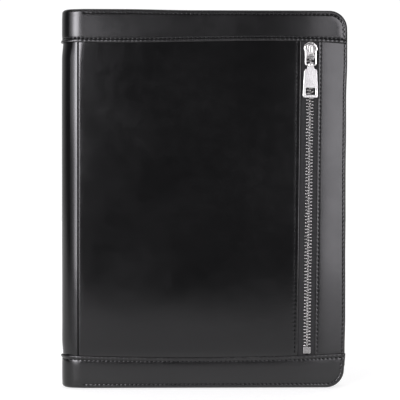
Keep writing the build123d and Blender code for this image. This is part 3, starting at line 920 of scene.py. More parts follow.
def slider_loop(inset=0.0, n=26):
    nose_c, r = NOSE_Z - 6.1, 6.1 - inset
    w, drop = 4.4 - inset, nose_c - TAIL_Z - inset
    a = math.atan2(-drop, w) + math.acos(r / math.hypot(w, drop))
    arc = [(ZIPX + r * math.cos(t), nose_c + r * math.sin(t)) for t in np.linspace(a, math.pi - a, n)]
    tail = round_poly([(ZIPX - w, nose_c - drop), (ZIPX + w, nose_c - drop), (ZIPX + w, nose_c), (ZIPX - w, nose_c)],
                      [1.3, 1.3, 0, 0], 4)
    low = [tuple(p) for p in tail if p[1] < nose_c - 0.1]
    return np.array(low + arc)


def slider(mat):
    parts = [plate_mesh([slider_loop()], -15.15, -13.95, 1.1, 7), plate_mesh([slider_loop()], -10.75, -9.6, 0.45, 3)]
    # side flanges; the closed teeth run between the plates
    nose_c = NOSE_Z - 6.1
    for s in (-1, 1):
        lp = [(ZIPX + s * 4.3, TAIL_Z + 0.6), (ZIPX + s * 5.9, nose_c - 0.8), (ZIPX + s * 5.9, nose_c + 1.4),
              (ZIPX + s * 4.9, nose_c + 1.4), (ZIPX + s * 3.4, TAIL_Z + 0.6)]
        lp = np.array(lp if s > 0 else lp[::-1])
        for y0, y1 in ((-14.2, -12.95), (-11.75, -10.5)):
            parts.append(plate_mesh([lp], y0, y1, 0.2, 2))
    # raised step round the crown's feet
    foot = round_poly([(ZIPX - 2.6, 293.2), (ZIPX + 2.6, 293.2), (ZIPX + 3.1, 304.0), (ZIPX - 3.1, 304.0)], 1.2, 5)
    parts.append(plate_mesh([foot], -15.55, -15.0, 0.3, 3))
    # crown: an arch seen from the side, carried across in x with its edges rounded
    outer = round_poly([(294.3, -15.0), (303.0, -15.0), (303.0, -17.1), (301.2, -18.8), (296.0, -18.8), (294.3, -17.1)],
                       [0, 0, 1.0, 1.2, 1.2, 1.0], 5)
    hole = round_poly([(295.8, -14.9), (301.4, -14.9), (301.4, -16.9), (300.7, -17.5), (296.5, -17.5), (295.8, -16.9)],
                      [0, 0, 0.4, 0.4, 0.4, 0.4], 3)
    V, F, flat = [], [], []
    # profile loops in (z, y), outer and hole joined into one band outline for an open arch
    outline = [tuple(p) for p in outer[1:]] + [tuple(outer[0])] + [tuple(p) for p in [hole[0]]] \
        + [tuple(p) for p in hole[1:][::-1]]
    arch = np.array(outline)
    area = np.sum(arch[:, 0] * np.roll(arch[:, 1], -1) - np.roll(arch[:, 0], -1) * arch[:, 1])
    if area < 0:
        arch = arch[::-1]
    v, f, fl = plate_mesh([arch], -1.5, 1.5, 0.4, 3)
    v = [(ZIPX + b, c, a) for a, b, c in v]     # (z, x, y) of the loop's frame to x, y, z
    parts.append((v, f, fl))
    return metal("slider_shell", join_meshes(*parts), mat)


def arc_path(pts, r, n=6):
    """Polyline with its corners rounded, in (x, z)."""
    pts = np.array(pts, float)
    out = [pts[0]]
    for i in range(1, len(pts) - 1):
        p, a, b = pts[i], pts[i - 1] - pts[i], pts[i + 1] - pts[i]
        a, b = a / np.linalg.norm(a), b / np.linalg.norm(b)
        half = math.acos(float(np.clip(np.dot(a, b), -1, 1))) / 2
        d = r / math.tan(half)
        c = p + (a + b) / np.linalg.norm(a + b) * (r / math.sin(half))
        s, e = p + a * d - c, p + b * d - c
        sweep = math.acos(float(np.clip(np.dot(s, e) / r ** 2, -1, 1)))
        sign = 1 if s[0] * e[1] - s[1] * e[0] > 0 else -1
        for k in range(n + 1):
            t = sign * sweep * k / n
            out.append(c + np.array([s[0] * math.cos(t) - s[1] * math.sin(t), s[0] * math.sin(t) + s[1] * math.cos(t)]))
    out.append(pts[-1])
    return np.array(out)


def link(mat):
    p = arc_path([(ZIPX - 1.25, TAB_Z), (ZIPX - 4.6, TAB_Z), (ZIPX - 4.6, LINK_Z), (ZIPX + 4.6, LINK_Z),
                  (ZIPX + 4.6, TAB_Z), (ZIPX + 1.25, TAB_Z)], 1.3)
    # extra points along the straights keep the wire's shading even
    q = []
    for a, b in zip(p[:-1], p[1:]):
        k = max(1, int(np.linalg.norm(b - a) / 1.2))
        q += [a + (b - a) * i / k for i in range(k)]
    q.append(p[-1])
    path = [(x, PIVOT_Y, z) for x, z in q]
    return metal("pull_wire", tube(path, 0.86), mat)


def tab(mat):
    def edge(s):
        pts = [(2.75, TAB_Z + 0.2), (2.75, 283.6)]
        # concave shoulder from the neck out to the body
        for t in np.linspace(0, 1, 9)[1:]:
            a = t * math.pi / 2
            pts.append((2.75 + (5.45 - 2.75) * (1 - math.cos(a)), 283.6 - 2.3 * math.sin(a)))
        pts += [(5.75, 279.5), (6.3, 270.0), (6.75, 258.2)]
        for t in np.linspace(0, math.pi / 2, 6)[1:]:
            pts.append((6.75 - 1.6 * (1 - math.cos(t)), 258.2 - 1.9 * math.sin(t)))
        return [(ZIPX + s * x, z) for x, z in pts]
    right, left = edge(1), edge(-1)
    loop = np.array(left + right[::-1])          # down the left side and up the right: counter-clockwise
    win = round_poly([(ZIPX - 4.2, 258.8), (ZIPX - 4.2, 265.0), (ZIPX + 4.2, 265.0), (ZIPX + 4.2, 258.8)], 0.9, 4)
    parts = [plate_mesh([loop, win], -17.0, -15.5, 0.42, 4)]
    # barrel round the wire's turned-in ends
    n, L, r0 = 24, 2.75, 1.55
    V, F, flat = [], [], []
    rings = [(-L + 0.35, r0 - 0.35, True), (-L + 0.1, r0 - 0.1, False), (-L + 0.35, r0, False)]
    prof = [(-L, 0.9), (-L, r0 - 0.3), (-L + 0.3, r0), (L - 0.3, r0), (L, r0 - 0.3), (L, 0.9)]
    for x, r in prof:
        V += [(ZIPX + x, PIVOT_Y + r * math.cos(a), TAB_Z + r * math.sin(a)) for a in np.arange(n) * 2 * math.pi / n]
    for k in range(len(prof)):
        k2 = (k + 1) % len(prof)
        for i in range(n):
            j = (i + 1) % n
            F.append([k * n + i, k * n + j, k2 * n + j, k2 * n + i])
            flat.append(False)
    parts.append((V, F, flat))
    return metal("pull_tab_plate", join_meshes(*parts), mat)


# ---- inside ---------------------------------------------------------------------------------------
def pocket(mat, thread):
    """Document pocket on the front cover's inner side, with a rolled mouth."""
    x0, x1, z0, z1 = -104.0, 112.0, 15.0, 268.0

    def h(X, Z):
        d = np.minimum(np.minimum(X - x0, x1 - X), Z - z0)
        roll = 0.0 + 0.16 * np.exp(-((z1 - Z - 1.6) / 1.3) ** 2) - 0.18 * np.exp(-((z1 - Z - 4.0) / 0.6) ** 2)
        return -0.2 * np.exp(-((d - 2.6) / 0.6) ** 2) + roll

    face = panel_sheet("document_pocket_leather", x0, x1, z0, z1, -4.75, 0.85, mat, 1, 2.0, 0.0, 41, h, 4.0)
    # hems down the sides and along the bottom, down to the lining
    out = round_poly([(x0, z1), (x0, z0), (x1, z0), (x1, z1)], [0, 4, 4, 0], 5)
    inn = round_poly([(x0 + 5, z1), (x0 + 5, z0 + 5), (x1 - 5, z0 + 5), (x1 - 5, z1)], [0, 2, 2, 0], 5)
    lp = np.array([tuple(p) for p in out] + [tuple(p) for p in inn[::-1]])
    hem = metal("document_pocket_hem", plate_mesh([lp], -6.28, -5.55, 0.2, 2), mat, lean=False)
    C, T, N = [], [], []
    for p in np.arange(z1 - 6, z0 + 5, -PITCH):
        C += [(x0 + 2.6, -4.75 - 0.15, p), (x1 - 2.6, -4.75 - 0.15, p)]
        T += [(0, 0, 1)] * 2
    for p in np.arange(x0 + 6, x1 - 5, PITCH):
        C.append((p, -4.9, z0 + 2.6))
        T.append((1, 0, 0))
    for p in np.arange(x0 + 4, x1 - 4, PITCH):
        C.append((p, -4.9, z1 - 4.0))
        T.append((1, 0, 0))
    st = stitches("document_pocket_thread", C, T, [(0, 1, 0)] * len(C), thread, radius=0.28, lift=0.12)
    return face, hem, st


def cards(mat, thread):
    out = []
    for i in range(3):
        x0, x1, z0, z1 = -2.0, 98.0, 178.0, 252.0 - 15.0 * i
        y = -4.7 + 0.7 * (i + 1)

        def h(X, Z, z1=z1):
            return -0.12 * np.exp(-((z1 - Z - 2.2) / 0.5) ** 2) - 0.12 * np.exp(-((np.minimum(X - x0, x1 - X) - 1.8) / 0.5) ** 2)
        out.append(panel_sheet(f"card_slot_leather_{i + 1}", x0, x1, z0, z1, y - 0.03, 0.62, mat, 1, 1.6, 0.0, 50 + i, h, 2.0))
        C = [(p, y - 0.1, z1 - 2.2) for p in np.arange(x0 + 3, x1 - 2, PITCH * 0.8)]
        T = [(1, 0, 0)] * len(C)
        zz = np.arange(z1 - 5 if i == 2 else z1 - 4, z1 - 14 if i < 2 else z0 + 2, -PITCH * 0.8)
        C += [(x0 + 1.8, y - 0.1, p) for p in zz] + [(x1 - 1.8, y - 0.1, p) for p in zz]
        T += [(0, 0, 1)] * (2 * len(zz))
        out.append(stitches(f"card_slot_thread_{i + 1}", C, T, [(0, 1, 0)] * len(C), thread, 2.2, 0.24, 0.34, 0.1))
    return out


def sleeve(mat, thread):
    x0, x1, z0, z1 = -104.5, 114.1, 12.4, 205.0

    def h(X, Z):
        d = np.minimum(np.minimum(X - x0, x1 - X), Z - z0)
        return -0.2 * np.exp(-((d - 2.0) / 0.6) ** 2) + 0.0 - 0.16 * np.exp(-((z1 - Z - 4.0) / 0.6) ** 2)

    face = panel_sheet("sleeve_leather", x0, x1, z0, z1, 7.33, 0.95, mat, -1, 2.0, 0.0, 61, h, 4.0)
    out = round_poly([(x0, z1), (x0, z0), (x1, z0), (x1, z1)], [0, 4, 4, 0], 5)
    inn = np.array([(x0 + 4.5, z1), (x0 + 4.5, 14.1), (111.9, 14.1), (111.9, z1)])
    lp = np.array([tuple(p) for p in out] + [tuple(p) for p in inn[::-1]])
    hem = metal("sleeve_hem", plate_mesh([lp], 8.25, 10.28, 0.12, 2), mat, lean=False)
    C, T = [], []
    for p in np.arange(z1 - 6, z0 + 5, -PITCH):
        C += [(x0 + 2.0, 7.43, p), (x1 - 1.3, 7.43, p)]
        T += [(0, 0, 1)] * 2
    for p in np.arange(x0 + 6, x1 - 5, PITCH):
        C += [(p, 7.43, z1 - 4.0)]
        T += [(1, 0, 0)]
    st = stitches("sleeve_thread", C, T, [(0, -1, 0)] * len(C), thread, radius=0.28, lift=0.12)
    return face, hem, st


def pen_loop(mat):
    """Elastic sewn to the spine: fine ribs run across its length."""
    cx = XC - 0.4 - (SPA - 2.6) + 5.5 + 0.7 + 0.2
    zs = np.arange(190.2, 244.81, 0.55)
    n = 56
    V, F = [], []
    rim = 0.35
    prof = []
    for k, z in enumerate(zs):
        prof.append((6.12 + (0.07 if k % 2 else -0.05) - (0.25 if k in (0, len(zs) - 1) else 0), z))
    for k, z in enumerate(zs[::-1]):
        prof.append((5.55 + (0.18 if k in (0, len(zs) - 1) else 0), z))
    m = len(prof)
    for r, z in prof:
        for a in np.arange(n) * 2 * math.pi / n:
            V.append((cx + r * math.cos(a), r * math.sin(a), z))
    for k in range(m):
        k2 = (k + 1) % m
        for i in range(n):
            j = (i + 1) % n
            F.append([k * n + i, k * n + j, k2 * n + j, k2 * n + i])
    loop = emit("pen_loop_elastic", V, F, mat, np.array([(0.001 * 6 * math.atan2(v[1], v[0] - cx), v[2] * 0.001) for v in V]),
                sharp=60)
    # foot: the two ends of the elastic lie flat against the lining
    f = round_poly([(cx - 6.9, 190.4), (cx - 4.6, 190.4), (cx - 4.6, 244.6), (cx - 6.9, 244.6)], 0.3, 3)
    foot = metal("pen_loop_foot", plate_mesh([f], -2.8, 2.8, 0.3, 2), mat, lean=False)
    return loop, foot


def notepad(paper, card, bind):
    x0, x1, z0, z1 = -98.5, 111.5, 14.5, 311.5
    n = 23
    parts = []
    r = np.random.default_rng(77)
    # groups of sheets, each a hair out of line with the next
    y = np.linspace(1.2, 7.0, n + 1)
    for i in range(n):
        dx, dz = r.uniform(0, 0.16, 2)
        parts.append(plate_mesh([round_poly([(x0 + dx, z0 + dz), (x1 - 0.16 + dx, z0 + dz), (x1 - 0.16 + dx, z1 - 0.02),
                                             (x0 + dx, z1 - 0.02)], 0.5, 2)], y[i] + 0.01, y[i + 1] - 0.01, 0.05, 1))
    sheets = metal("pad_paper", join_meshes(*parts), paper, lean=False)
    back = metal("pad_card", plate_mesh([round_poly([(x0, z0), (x1, z0), (x1, z1), (x0, z1)], 1.0, 3)], 8.6, 9.2, 0.12, 2),
                 card, lean=False)
    b = [plate_mesh([round_poly([(x0, z1 - 12), (x1, z1 - 12), (x1, z1 + 0.1), (x0, z1 + 0.1)], 0.2, 2)], 7.0, 8.6, 0.08, 1),
         plate_mesh([np.array([(x0 - 0.0, z1), (x1 + 0.0, z1), (x1, z1 + 0.3), (x0, z1 + 0.3)])], 1.0, 9.35, 0.1, 2),
         plate_mesh([np.array([(x0, z1 - 16), (x1, z1 - 16), (x1, z1 + 0.25), (x0, z1 + 0.25)])], 1.0, 1.19, 0.05, 1),
         plate_mesh([np.array([(x0, z1 - 12), (x1, z1 - 12), (x1, z1 + 0.25), (x0, z1 + 0.25)])], 9.21, 9.35, 0.05, 1)]
    binding = metal("pad_binding", join_meshes(*b), bind, lean=False)
    return sheets, back, binding


def spine_lining(mat):
    """Fabric inside the half-round spine."""
    phi = np.linspace(-math.pi / 2, math.pi / 2, 61)
    zs = np.linspace(1.6, H - 1.6, 84)
    a, b = SPA - 2.62, HT - 2.62
    P, Z = np.meshgrid(phi, zs, indexing="ij")
    w = waves(P * 12, Z, 0.05, 71, 20, 60)
    X, Y = SPX - (a - w) * np.cos(P), (b - w) * np.sin(P)
    v = np.stack([X, Y, Z], -1).reshape(-1, 3)
    # looking out of the hollow
    q = grid_faces(len(phi), len(zs))
    n = normals(v, q)
    mid = len(v) // 2
    if n[mid][0] < 0:
        q = q[:, ::-1]
    uv = np.stack([P * 12, Z], -1).reshape(-1, 2) * 0.001
    edge = np.minimum(Z - 1.6, H - 1.6 - Z)
    vv, ff, uu, ww = solid_sheet(v, q, 0.45, uv=uv, wear=wear_of(edge, 1.0).reshape(-1) * 0.2)
    return emit("spine_fabric", vv, ff, mat, uu, {"wear": ww})


# ---- materials --------------------------------------------------------------------------------------
class Mat:
    def __init__(self, name):
        self.m = bpy.data.materials.new(name)
        self.m.use_nodes = True
        self.t = self.m.node_tree
        self.t.nodes.clear()
        self.out = self.n("ShaderNodeOutputMaterial")
        self.b = self.n("ShaderNodeBsdfPrincipled")
        self.t.links.new(self.b.outputs[0], self.out.inputs[0])

    def n(self, kind, **props):
        node = self.t.nodes.new(kind)
        for k, v in props.items():
            setattr(node, k, v)
        return node

    def put(self, sock, v):
        if isinstance(v, bpy.types.NodeSocket):
            self.t.links.new(v, sock)
        else:
            sock.default_value = v

    def math(self, op, a, b=0.0, c=0.0, clamp=False):
        node = self.n("ShaderNodeMath", operation=op, use_clamp=clamp)
        for s, v in zip(node.inputs, (a, b, c)):
            self.put(s, v)
        return node.outputs[0]

    def coord(self, scale=1.0, kind="Object", stretch=None):
        c = self.n("ShaderNodeTexCoord").outputs[kind]
        mp = self.n("ShaderNodeMapping")
        self.t.links.new(c, mp.inputs[0])
        mp.inputs["Scale"].default_value = stretch or (scale, scale, scale)
        return mp.outputs[0]

    def noise(self, vec, scale, detail=2.0, rough=0.5):
        t = self.n("ShaderNodeTexNoise")
        self.t.links.new(vec, t.inputs["Vector"])
        t.inputs["Scale"].default_value = scale
        t.inputs["Detail"].default_value = detail
        t.inputs["Roughness"].default_value = rough
        return t.outputs["Fac"]

    def cells(self, vec, scale, feature="F1"):
        t = self.n("ShaderNodeTexVoronoi", feature=feature)
        self.t.links.new(vec, t.inputs["Vector"])
        t.inputs["Scale"].default_value = scale
        return t.outputs["Distance"]

    def wave(self, vec, scale, direction, kind="BANDS", profile="SIN", distortion=0.0):
        t = self.n("ShaderNodeTexWave", wave_type=kind, wave_profile=profile)
        t.bands_direction = direction
        self.t.links.new(vec, t.inputs["Vector"])
        t.inputs["Scale"].default_value = scale
        t.inputs["Distortion"].default_value = distortion
        t.inputs["Detail Scale"].default_value = 2.0
        return t.outputs["Fac"]

    def ramp(self, fac, a, b, lo=0.0, hi=1.0):
        r = self.n("ShaderNodeMapRange", interpolation_type="SMOOTHSTEP")
        self.put(r.inputs["Value"], fac)
        r.inputs["From Min"].default_value, r.inputs["From Max"].default_value = lo, hi
        r.inputs["To Min"].default_value, r.inputs["To Max"].default_value = a, b
        return r.outputs[0]

    def mix(self, fac, a, b):
        r = self.n("ShaderNodeMix", data_type="RGBA")
        self.put(r.inputs[0], fac)
        self.put(r.inputs[6], a)
        self.put(r.inputs[7], b)
        return r.outputs[2]

    def attr(self, name):
        a = self.n("ShaderNodeAttribute", attribute_name=name)
        return a.outputs["Fac"]

    def bump(self, *layers):
        """layers: (height socket, distance in metres, strength)"""
        prev = None
        for h, dist, strength in layers:
            b = self.n("ShaderNodeBump")
            b.inputs["Distance"].default_value = dist
            b.inputs["Strength"].default_value = strength
            self.t.links.new(h, b.inputs["Height"])
            if prev is not None:
                self.t.links.new(prev, b.inputs["Normal"])
            prev = b.outputs[0]
        self.t.links.new(prev, self.b.inputs["Normal"])

    def set(self, **kw):
        for k, v in kw.items():
            self.put(self.b.inputs[k.replace("_", " ")], v)
        return self


def g(v, a=1.0):
    return (v, v, v, a) if not hasattr(v, "__len__") else (*v, a)


def leather(name, dark, light, rough, grain=0.5, spec=0.5, coat=0.0, worn=(0.016, 0.0155, 0.015)):
    m = Mat(name)
    vec = m.coord()
    big = m.noise(vec, 14.0, 3.0)
    mid = m.noise(vec, 120.0, 3.0)
    pores = m.cells(vec, 1500.0)
    creases = m.cells(vec, 620.0, "DISTANCE_TO_EDGE")
    fine = m.noise(vec, 2600.0, 2.0)
    tone = m.mix(m.ramp(big, 0, 1, 0.3, 0.7), g(dark), g(light))
    tone = m.mix(m.math("MULTIPLY", m.attr("wear"), m.ramp(mid, 0.25, 0.8, 0.35, 0.75)), tone, g(worn))
    m.put(m.b.inputs["Base Color"], tone)
    r = m.math("ADD", m.ramp(big, rough * 0.88, rough * 1.12, 0.3, 0.7), m.ramp(mid, -0.012, 0.012, 0.3, 0.7))
    r = m.math("ADD", r, m.math("MULTIPLY", m.attr("wear"), 0.06))
    m.put(m.b.inputs["Roughness"], r)
    m.bump((m.ramp(creases, 0, 1, 0.0, 0.22), 0.00006, 0.30 * grain), (pores, 0.00004, 0.28 * grain),
           (fine, 0.00002, 0.22 * grain), (mid, 0.00012, 0.22 * grain))
    m.b.inputs["Specular IOR Level"].default_value = spec
    if coat:
        m.b.inputs["Coat Weight"].default_value = coat
        m.b.inputs["Coat Roughness"].default_value = 0.16
    return m.m


def fabric(name, c0, c1, pitch=0.0005, rough=0.92, depth=0.00012, sheen=0.25):
    m = Mat(name)
    vec = m.coord(kind="UV")
    k = 1.0 / pitch / 20 * math.pi
    u, v = m.wave(vec, k, "X"), m.wave(vec, k, "Y")
    w = m.math("MULTIPLY", u, v)
    slub = m.noise(m.coord(), 300.0, 3.0)
    m.put(m.b.inputs["Base Color"], m.mix(m.math("MULTIPLY", w, m.ramp(slub, 0.5, 1.0, 0.3, 0.7)), g(c0), g(c1)))
    m.put(m.b.inputs["Roughness"], m.ramp(slub, rough - 0.06, rough, 0.3, 0.7))
    m.bump((w, depth, 0.6), (slub, 0.0001, 0.3))
    m.b.inputs["Sheen Weight"].default_value = sheen
    return m.m


def fabric_object(name, c0, c1, pitch=0.0006, axes=("X", "Z")):
    """Weave that needs no UVs, for parts carried over from the CAD."""
    m = Mat(name)
    vec = m.coord()
    k = 1.0 / pitch / 20 * math.pi
    w = m.math("MULTIPLY", m.wave(vec, k, axes[0]), m.wave(vec, k, axes[1]))
    slub = m.noise(vec, 300.0, 3.0)
    m.put(m.b.inputs["Base Color"], m.mix(w, g(c0), g(c1)))
    m.put(m.b.inputs["Roughness"], m.ramp(slub, 0.82, 0.95, 0.3, 0.7))
    m.bump((w, 0.00012, 0.6))
    return m.m


def nickel(name, tint=(0.78, 0.765, 0.74), rough=0.15, dirt=0.2, vary=0.02):
    m = Mat(name)
    vec = m.coord()
    cloud = m.noise(vec, 180.0, 4.0)
    scratch = m.noise(m.coord(stretch=(900.0, 900.0, 60.0)), 3.0, 3.0)
    pit = m.noise(vec, 1500.0, 2.0)
    m.put(m.b.inputs["Base Color"], m.mix(m.ramp(cloud, 0, dirt, 0.45, 0.75), g(tint), g(tuple(c * 0.55 for c in tint))))
    m.put(m.b.inputs["Roughness"], m.math("ADD", m.ramp(cloud, rough - vary, rough + vary, 0.3, 0.7),
                                          m.ramp(scratch, 0.0, vary, 0.45, 0.7)))
    m.bump((scratch, 0.000004, 0.2), (pit, 0.000003, 0.2))
    m.b.inputs["Metallic"].default_value = 1.0
    return m.m


def thread_mat(name, c0, c1):
    m = Mat(name)
    vec = m.coord(kind="UV")
    tw = m.wave(vec, 260.0, "DIAGONAL")
    fl = m.noise(m.coord(), 900.0, 2.0)
    m.put(m.b.inputs["Base Color"], m.mix(tw, g(c0), g(c1)))
    m.put(m.b.inputs["Roughness"], m.ramp(fl, 0.7, 0.85, 0.3, 0.7))
    m.bump((tw, 0.00010, 0.5))
    m.b.inputs["Specular IOR Level"].default_value = 0.07
    return m.m


def board_mat(name, c0, c1, rough=0.85):
    m = Mat(name)
    vec = m.coord()
    fib = m.noise(m.coord(stretch=(300.0, 300.0, 1500.0)), 1.0, 4.0)
    sp = m.noise(vec, 900.0, 3.0)
    m.put(m.b.inputs["Base Color"], m.mix(m.ramp(fib, 0, 1, 0.35, 0.7), g(c0), g(c1)))
    m.put(m.b.inputs["Roughness"], m.ramp(sp, rough - 0.06, rough + 0.06, 0.3, 0.7))
    m.bump((sp, 0.00008, 0.4))
    return m.m


def paper_mat(name, z1):
    """Off-white paper, plain ruled lines on its face, and the edges of the sheets as fine stripes."""
    m = Mat(name)
    pos = m.coord()
    sep = m.n("ShaderNodeSeparateXYZ")
    m.t.links.new(pos, sep.inputs[0])
    fib = m.noise(pos, 700.0, 4.0)
    tone = m.mix(m.ramp(fib, 0, 1, 0.3, 0.7), g((0.84, 0.83, 0.79)), g((0.90, 0.89, 0.86)))
    # ruled every 8 mm below the heading space
    cyc = m.math("FRACT", m.math("DIVIDE", sep.outputs[2], 0.008))
    line = m.math("LESS_THAN", m.math("ABSOLUTE", m.math("SUBTRACT", cyc, 0.5)), 0.022)
    body = m.math("MULTIPLY", m.math("LESS_THAN", sep.outputs[2], (z1 - 42) * 0.001),
                  m.math("GREATER_THAN", sep.outputs[2], 0.028))
    geo = m.n("ShaderNodeNewGeometry")
    nrm = m.n("ShaderNodeSeparateXYZ")
    m.t.links.new(geo.outputs["Normal"], nrm.inputs[0])
    facing = m.math("GREATER_THAN", m.math("ABSOLUTE", nrm.outputs[1]), 0.7)
    m.put(m.b.inputs["Base Color"], m.mix(m.math("MULTIPLY", m.math("MULTIPLY", line, body), facing), tone,
                                          g((0.42, 0.52, 0.62))))
    edge = m.wave(pos, 2600.0, "Y")
    m.put(m.b.inputs["Roughness"], m.ramp(fib, 0.72, 0.86, 0.3, 0.7))
    m.bump((edge, 0.00006, 0.4), (fib, 0.00003, 0.3))
    return m.m


M_SKIN = leather("Leather, cover", (0.0016, 0.0016, 0.0018), (0.0024, 0.0024, 0.0026), 0.137, 0.25, 0.46)
M_STRIP = leather("Leather, fore-edge", (0.0022, 0.0022, 0.0024), (0.0034, 0.0034, 0.0036), 0.23, 0.45, 0.46)
M_BAND = leather("Leather, bands", (0.0022, 0.0022, 0.0024), (0.0034, 0.0034, 0.0036), 0.215, 0.4, 0.455)
M_INNER = leather("Leather, inside", (0.016, 0.016, 0.017), (0.024, 0.024, 0.025), 0.46, 0.9, 0.45, worn=(0.07, 0.068, 0.064))
M_THREAD = thread_mat("Thread", (0.0025, 0.0025, 0.0028), (0.008, 0.008, 0.0085))
M_TAPE = fabric("Zip tape", (0.0025, 0.0025, 0.003), (0.0085, 0.0085, 0.009), 0.00055, 0.85, 0.0001, 0.04)
M_LINING = fabric("Lining fabric", (0.018, 0.018, 0.021), (0.042, 0.042, 0.047), 0.0006, 0.93, 0.00012, 0.3)
M_POCKET = fabric("Pocket fabric", (0.016, 0.016, 0.017), (0.036, 0.036, 0.038), 0.0005, 0.93, 0.0001, 0.2)
M_ELASTIC = fabric("Loop elastic", (0.010, 0.010, 0.010), (0.030, 0.030, 0.031), 0.0007, 0.88, 0.00015, 0.3)
M_ZIPMETAL = nickel("Nickel, zip", (0.54, 0.53, 0.52), 0.20, 0.3, 0.04)
M_STOP = nickel("Nickel, end stop", (0.33, 0.325, 0.32), 0.24, 0.35, 0.04)
M_PULL = nickel("Nickel, pull", (0.66, 0.655, 0.65), 0.255, 0.12, 0.015)
M_SLIDER = nickel("Nickel, slider", (0.68, 0.67, 0.66), 0.16, 0.15, 0.015)
M_BOARD = board_mat("Board", (0.30, 0.27, 0.23), (0.40, 0.37, 0.32))
M_CARD = board_mat("Card back", (0.38, 0.34, 0.28), (0.48, 0.43, 0.36))
M_BIND = board_mat("Binding strip", (0.030, 0.030, 0.034), (0.055, 0.055, 0.060), 0.55)
M_PAPER = paper_mat("Paper", 311.5)

# ---- the case -------------------------------------------------------------------------------------
Y0 = YS * 0.001


def add(ob, body, slot, *nodes):
    if nodes:
        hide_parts(*nodes)
    if isinstance(body, str):
        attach(ob, body)
    elif body[0] == "front":
        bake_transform(ob)
    else:
        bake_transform(ob)
    return ob


add(front_skin(M_SKIN), ("front",), "cover_leather", "front_panel", "spine_panel")
add(back_skin(M_SKIN), ("back",), "cover_leather", "back_panel", "spine_panel")
add(band("front_top_leather", M_BAND, "top", "front"), ("front",), "band_leather", "front_top_band", "spine_top_band")
add(band("front_bottom_leather", M_BAND, "bottom", "front"), ("front",), "band_leather", "front_bottom_band",
    "spine_bottom_band")
add(band("back_top_leather", M_BAND, "top", "back"), ("back",), "band_leather", "back_top_band", "spine_top_band")
add(band("back_bottom_leather", M_BAND, "bottom", "back"), ("back",), "band_leather", "back_bottom_band",
    "spine_bottom_band")
add(front_strip(M_STRIP), "front_cover", "cover_leather", "front_edge_panel")
add(front_turning(M_SKIN), "front_cover", "cover_leather", "front_edge_panel")

for end in ("top", "bottom"):
    for side in ("front", "back"):
        for which in ("free", "edge"):
            C, T, N = band_line(end, side, which)
            ob = stitches(f"thread_{side}_{end}_{which}", C, T, N, M_THREAD)
            add(ob, (side,), "band_leather")

C, T, N = line_z(lambda z: slit_x(SLIT[0], z) - LIP_L,
                 lambda x, z: -HT - skin_h(x, z, "front"), ZB + 1.5, ZT - 1.5)
add(stitches("thread_lip_left", C, T, N, M_THREAD), "front_cover", "cover_leather")
C, T, N = line_z(lambda z: slit_x(SLIT[1], z) + LIP_R,
                 lambda x, z: strip_y(x, z) - strip_h(x, z), ZB + 1.5, ZT - 1.5)
add(stitches("thread_lip_right", settle(C), T, N, M_THREAD), "front_cover", "cover_leather")
C, T, N = line_z(lambda z: 0 * z + XE - EDGE_ST,
                 lambda x, z: strip_y(x, z) - strip_h(x, z), ZB + 1.5, ZT - 1.5)
add(stitches("thread_fore_edge", settle(C), T, N, M_THREAD), "front_cover", "cover_leather")
C, T, N = line_z(lambda z: 0 * z + XS - 3.6,
                 lambda x, z: HT + skin_h(x, z, "back"), ZB + 1.5, ZT - 1.5, (0, 1, 0))
add(stitches("thread_back_edge", settle(C), T, N, M_THREAD), "back_cover", "cover_leather")

# zip
add(zip_tape("tape_left", -1, M_TAPE), "front_cover", "zip_tape", "zip_tape_left")
add(zip_tape("tape_right", 1, M_TAPE), "front_cover", "zip_tape", "zip_tape_right")
add(zip_teeth("teeth_left", -1, M_ZIPMETAL), "front_cover", "zip_metal", "zip_teeth_left")
add(zip_teeth("teeth_right", 1, M_ZIPMETAL), "front_cover", "zip_metal", "zip_teeth_right")
add(bottom_stop(M_STOP), "front_cover", "zip_metal", "zip_bottom_stop")
add(slider(M_SLIDER), "zip_slider", "pull_metal", "zip_slider_body")
add(link(M_SLIDER), "zip_link", "pull_metal", "pull_link")
add(tab(M_PULL), "zip_tab", "pull_metal", "pull_tab")

# inside
for ob, slot in zip(pocket(M_INNER, M_THREAD), ("inner_leather",) * 3):
    add(ob, "front_cover", slot, "document_pocket")
for i, ob in enumerate(cards(M_INNER, M_THREAD)):
    add(ob, "front_cover", "inner_leather", f"card_slot_{i // 2 + 1}")
for ob in sleeve(M_INNER, M_THREAD):
    add(ob, "back_cover", "inner_leather", "notepad_sleeve")
for ob in pen_loop(M_ELASTIC):
    add(ob, "spine", "loop_elastic", "pen_loop")
for ob, slot, node in zip(notepad(M_PAPER, M_CARD, M_BIND), ("paper", "card", "binding"),
                          ("notepad_sheets", "notepad_card_back", "notepad_binding")):
    add(ob, "notepad", slot, node)
LX0, LX1 = mm("front_lining")[0][0], mm("front_lining")[1][0]
LZ0, LZ1 = mm("front_lining")[0][2], mm("front_lining")[1][2]
add(panel_sheet("front_fabric", LX0, LX1, LZ0, LZ1, -6.32, 0.45, M_LINING, 1, 5.0, 0.03, 81, corner=14.0),
    "front_cover", "lining", "front_lining")
add(panel_sheet("back_fabric", LX0, LX1, LZ0, LZ1, 10.32, 0.45, M_LINING, -1, 5.0, 0.03, 82, corner=14.0),
    "back_cover", "lining", "back_lining")
add(spine_lining(M_LINING), "spine", "lining", "spine_lining")
PX = mm("pocket_front_lining")
PB = mm("pocket_back_lining")
add(panel_sheet("pocket_fabric_back", PB[0][0], PB[1][0], PB[0][2], PB[1][2], PB[0][1] - YS + 0.02, 0.34, M_POCKET, -1,
                5.0, 0.05, 83, corner=18.0), "front_cover", "pocket_lining", "pocket_back_lining")

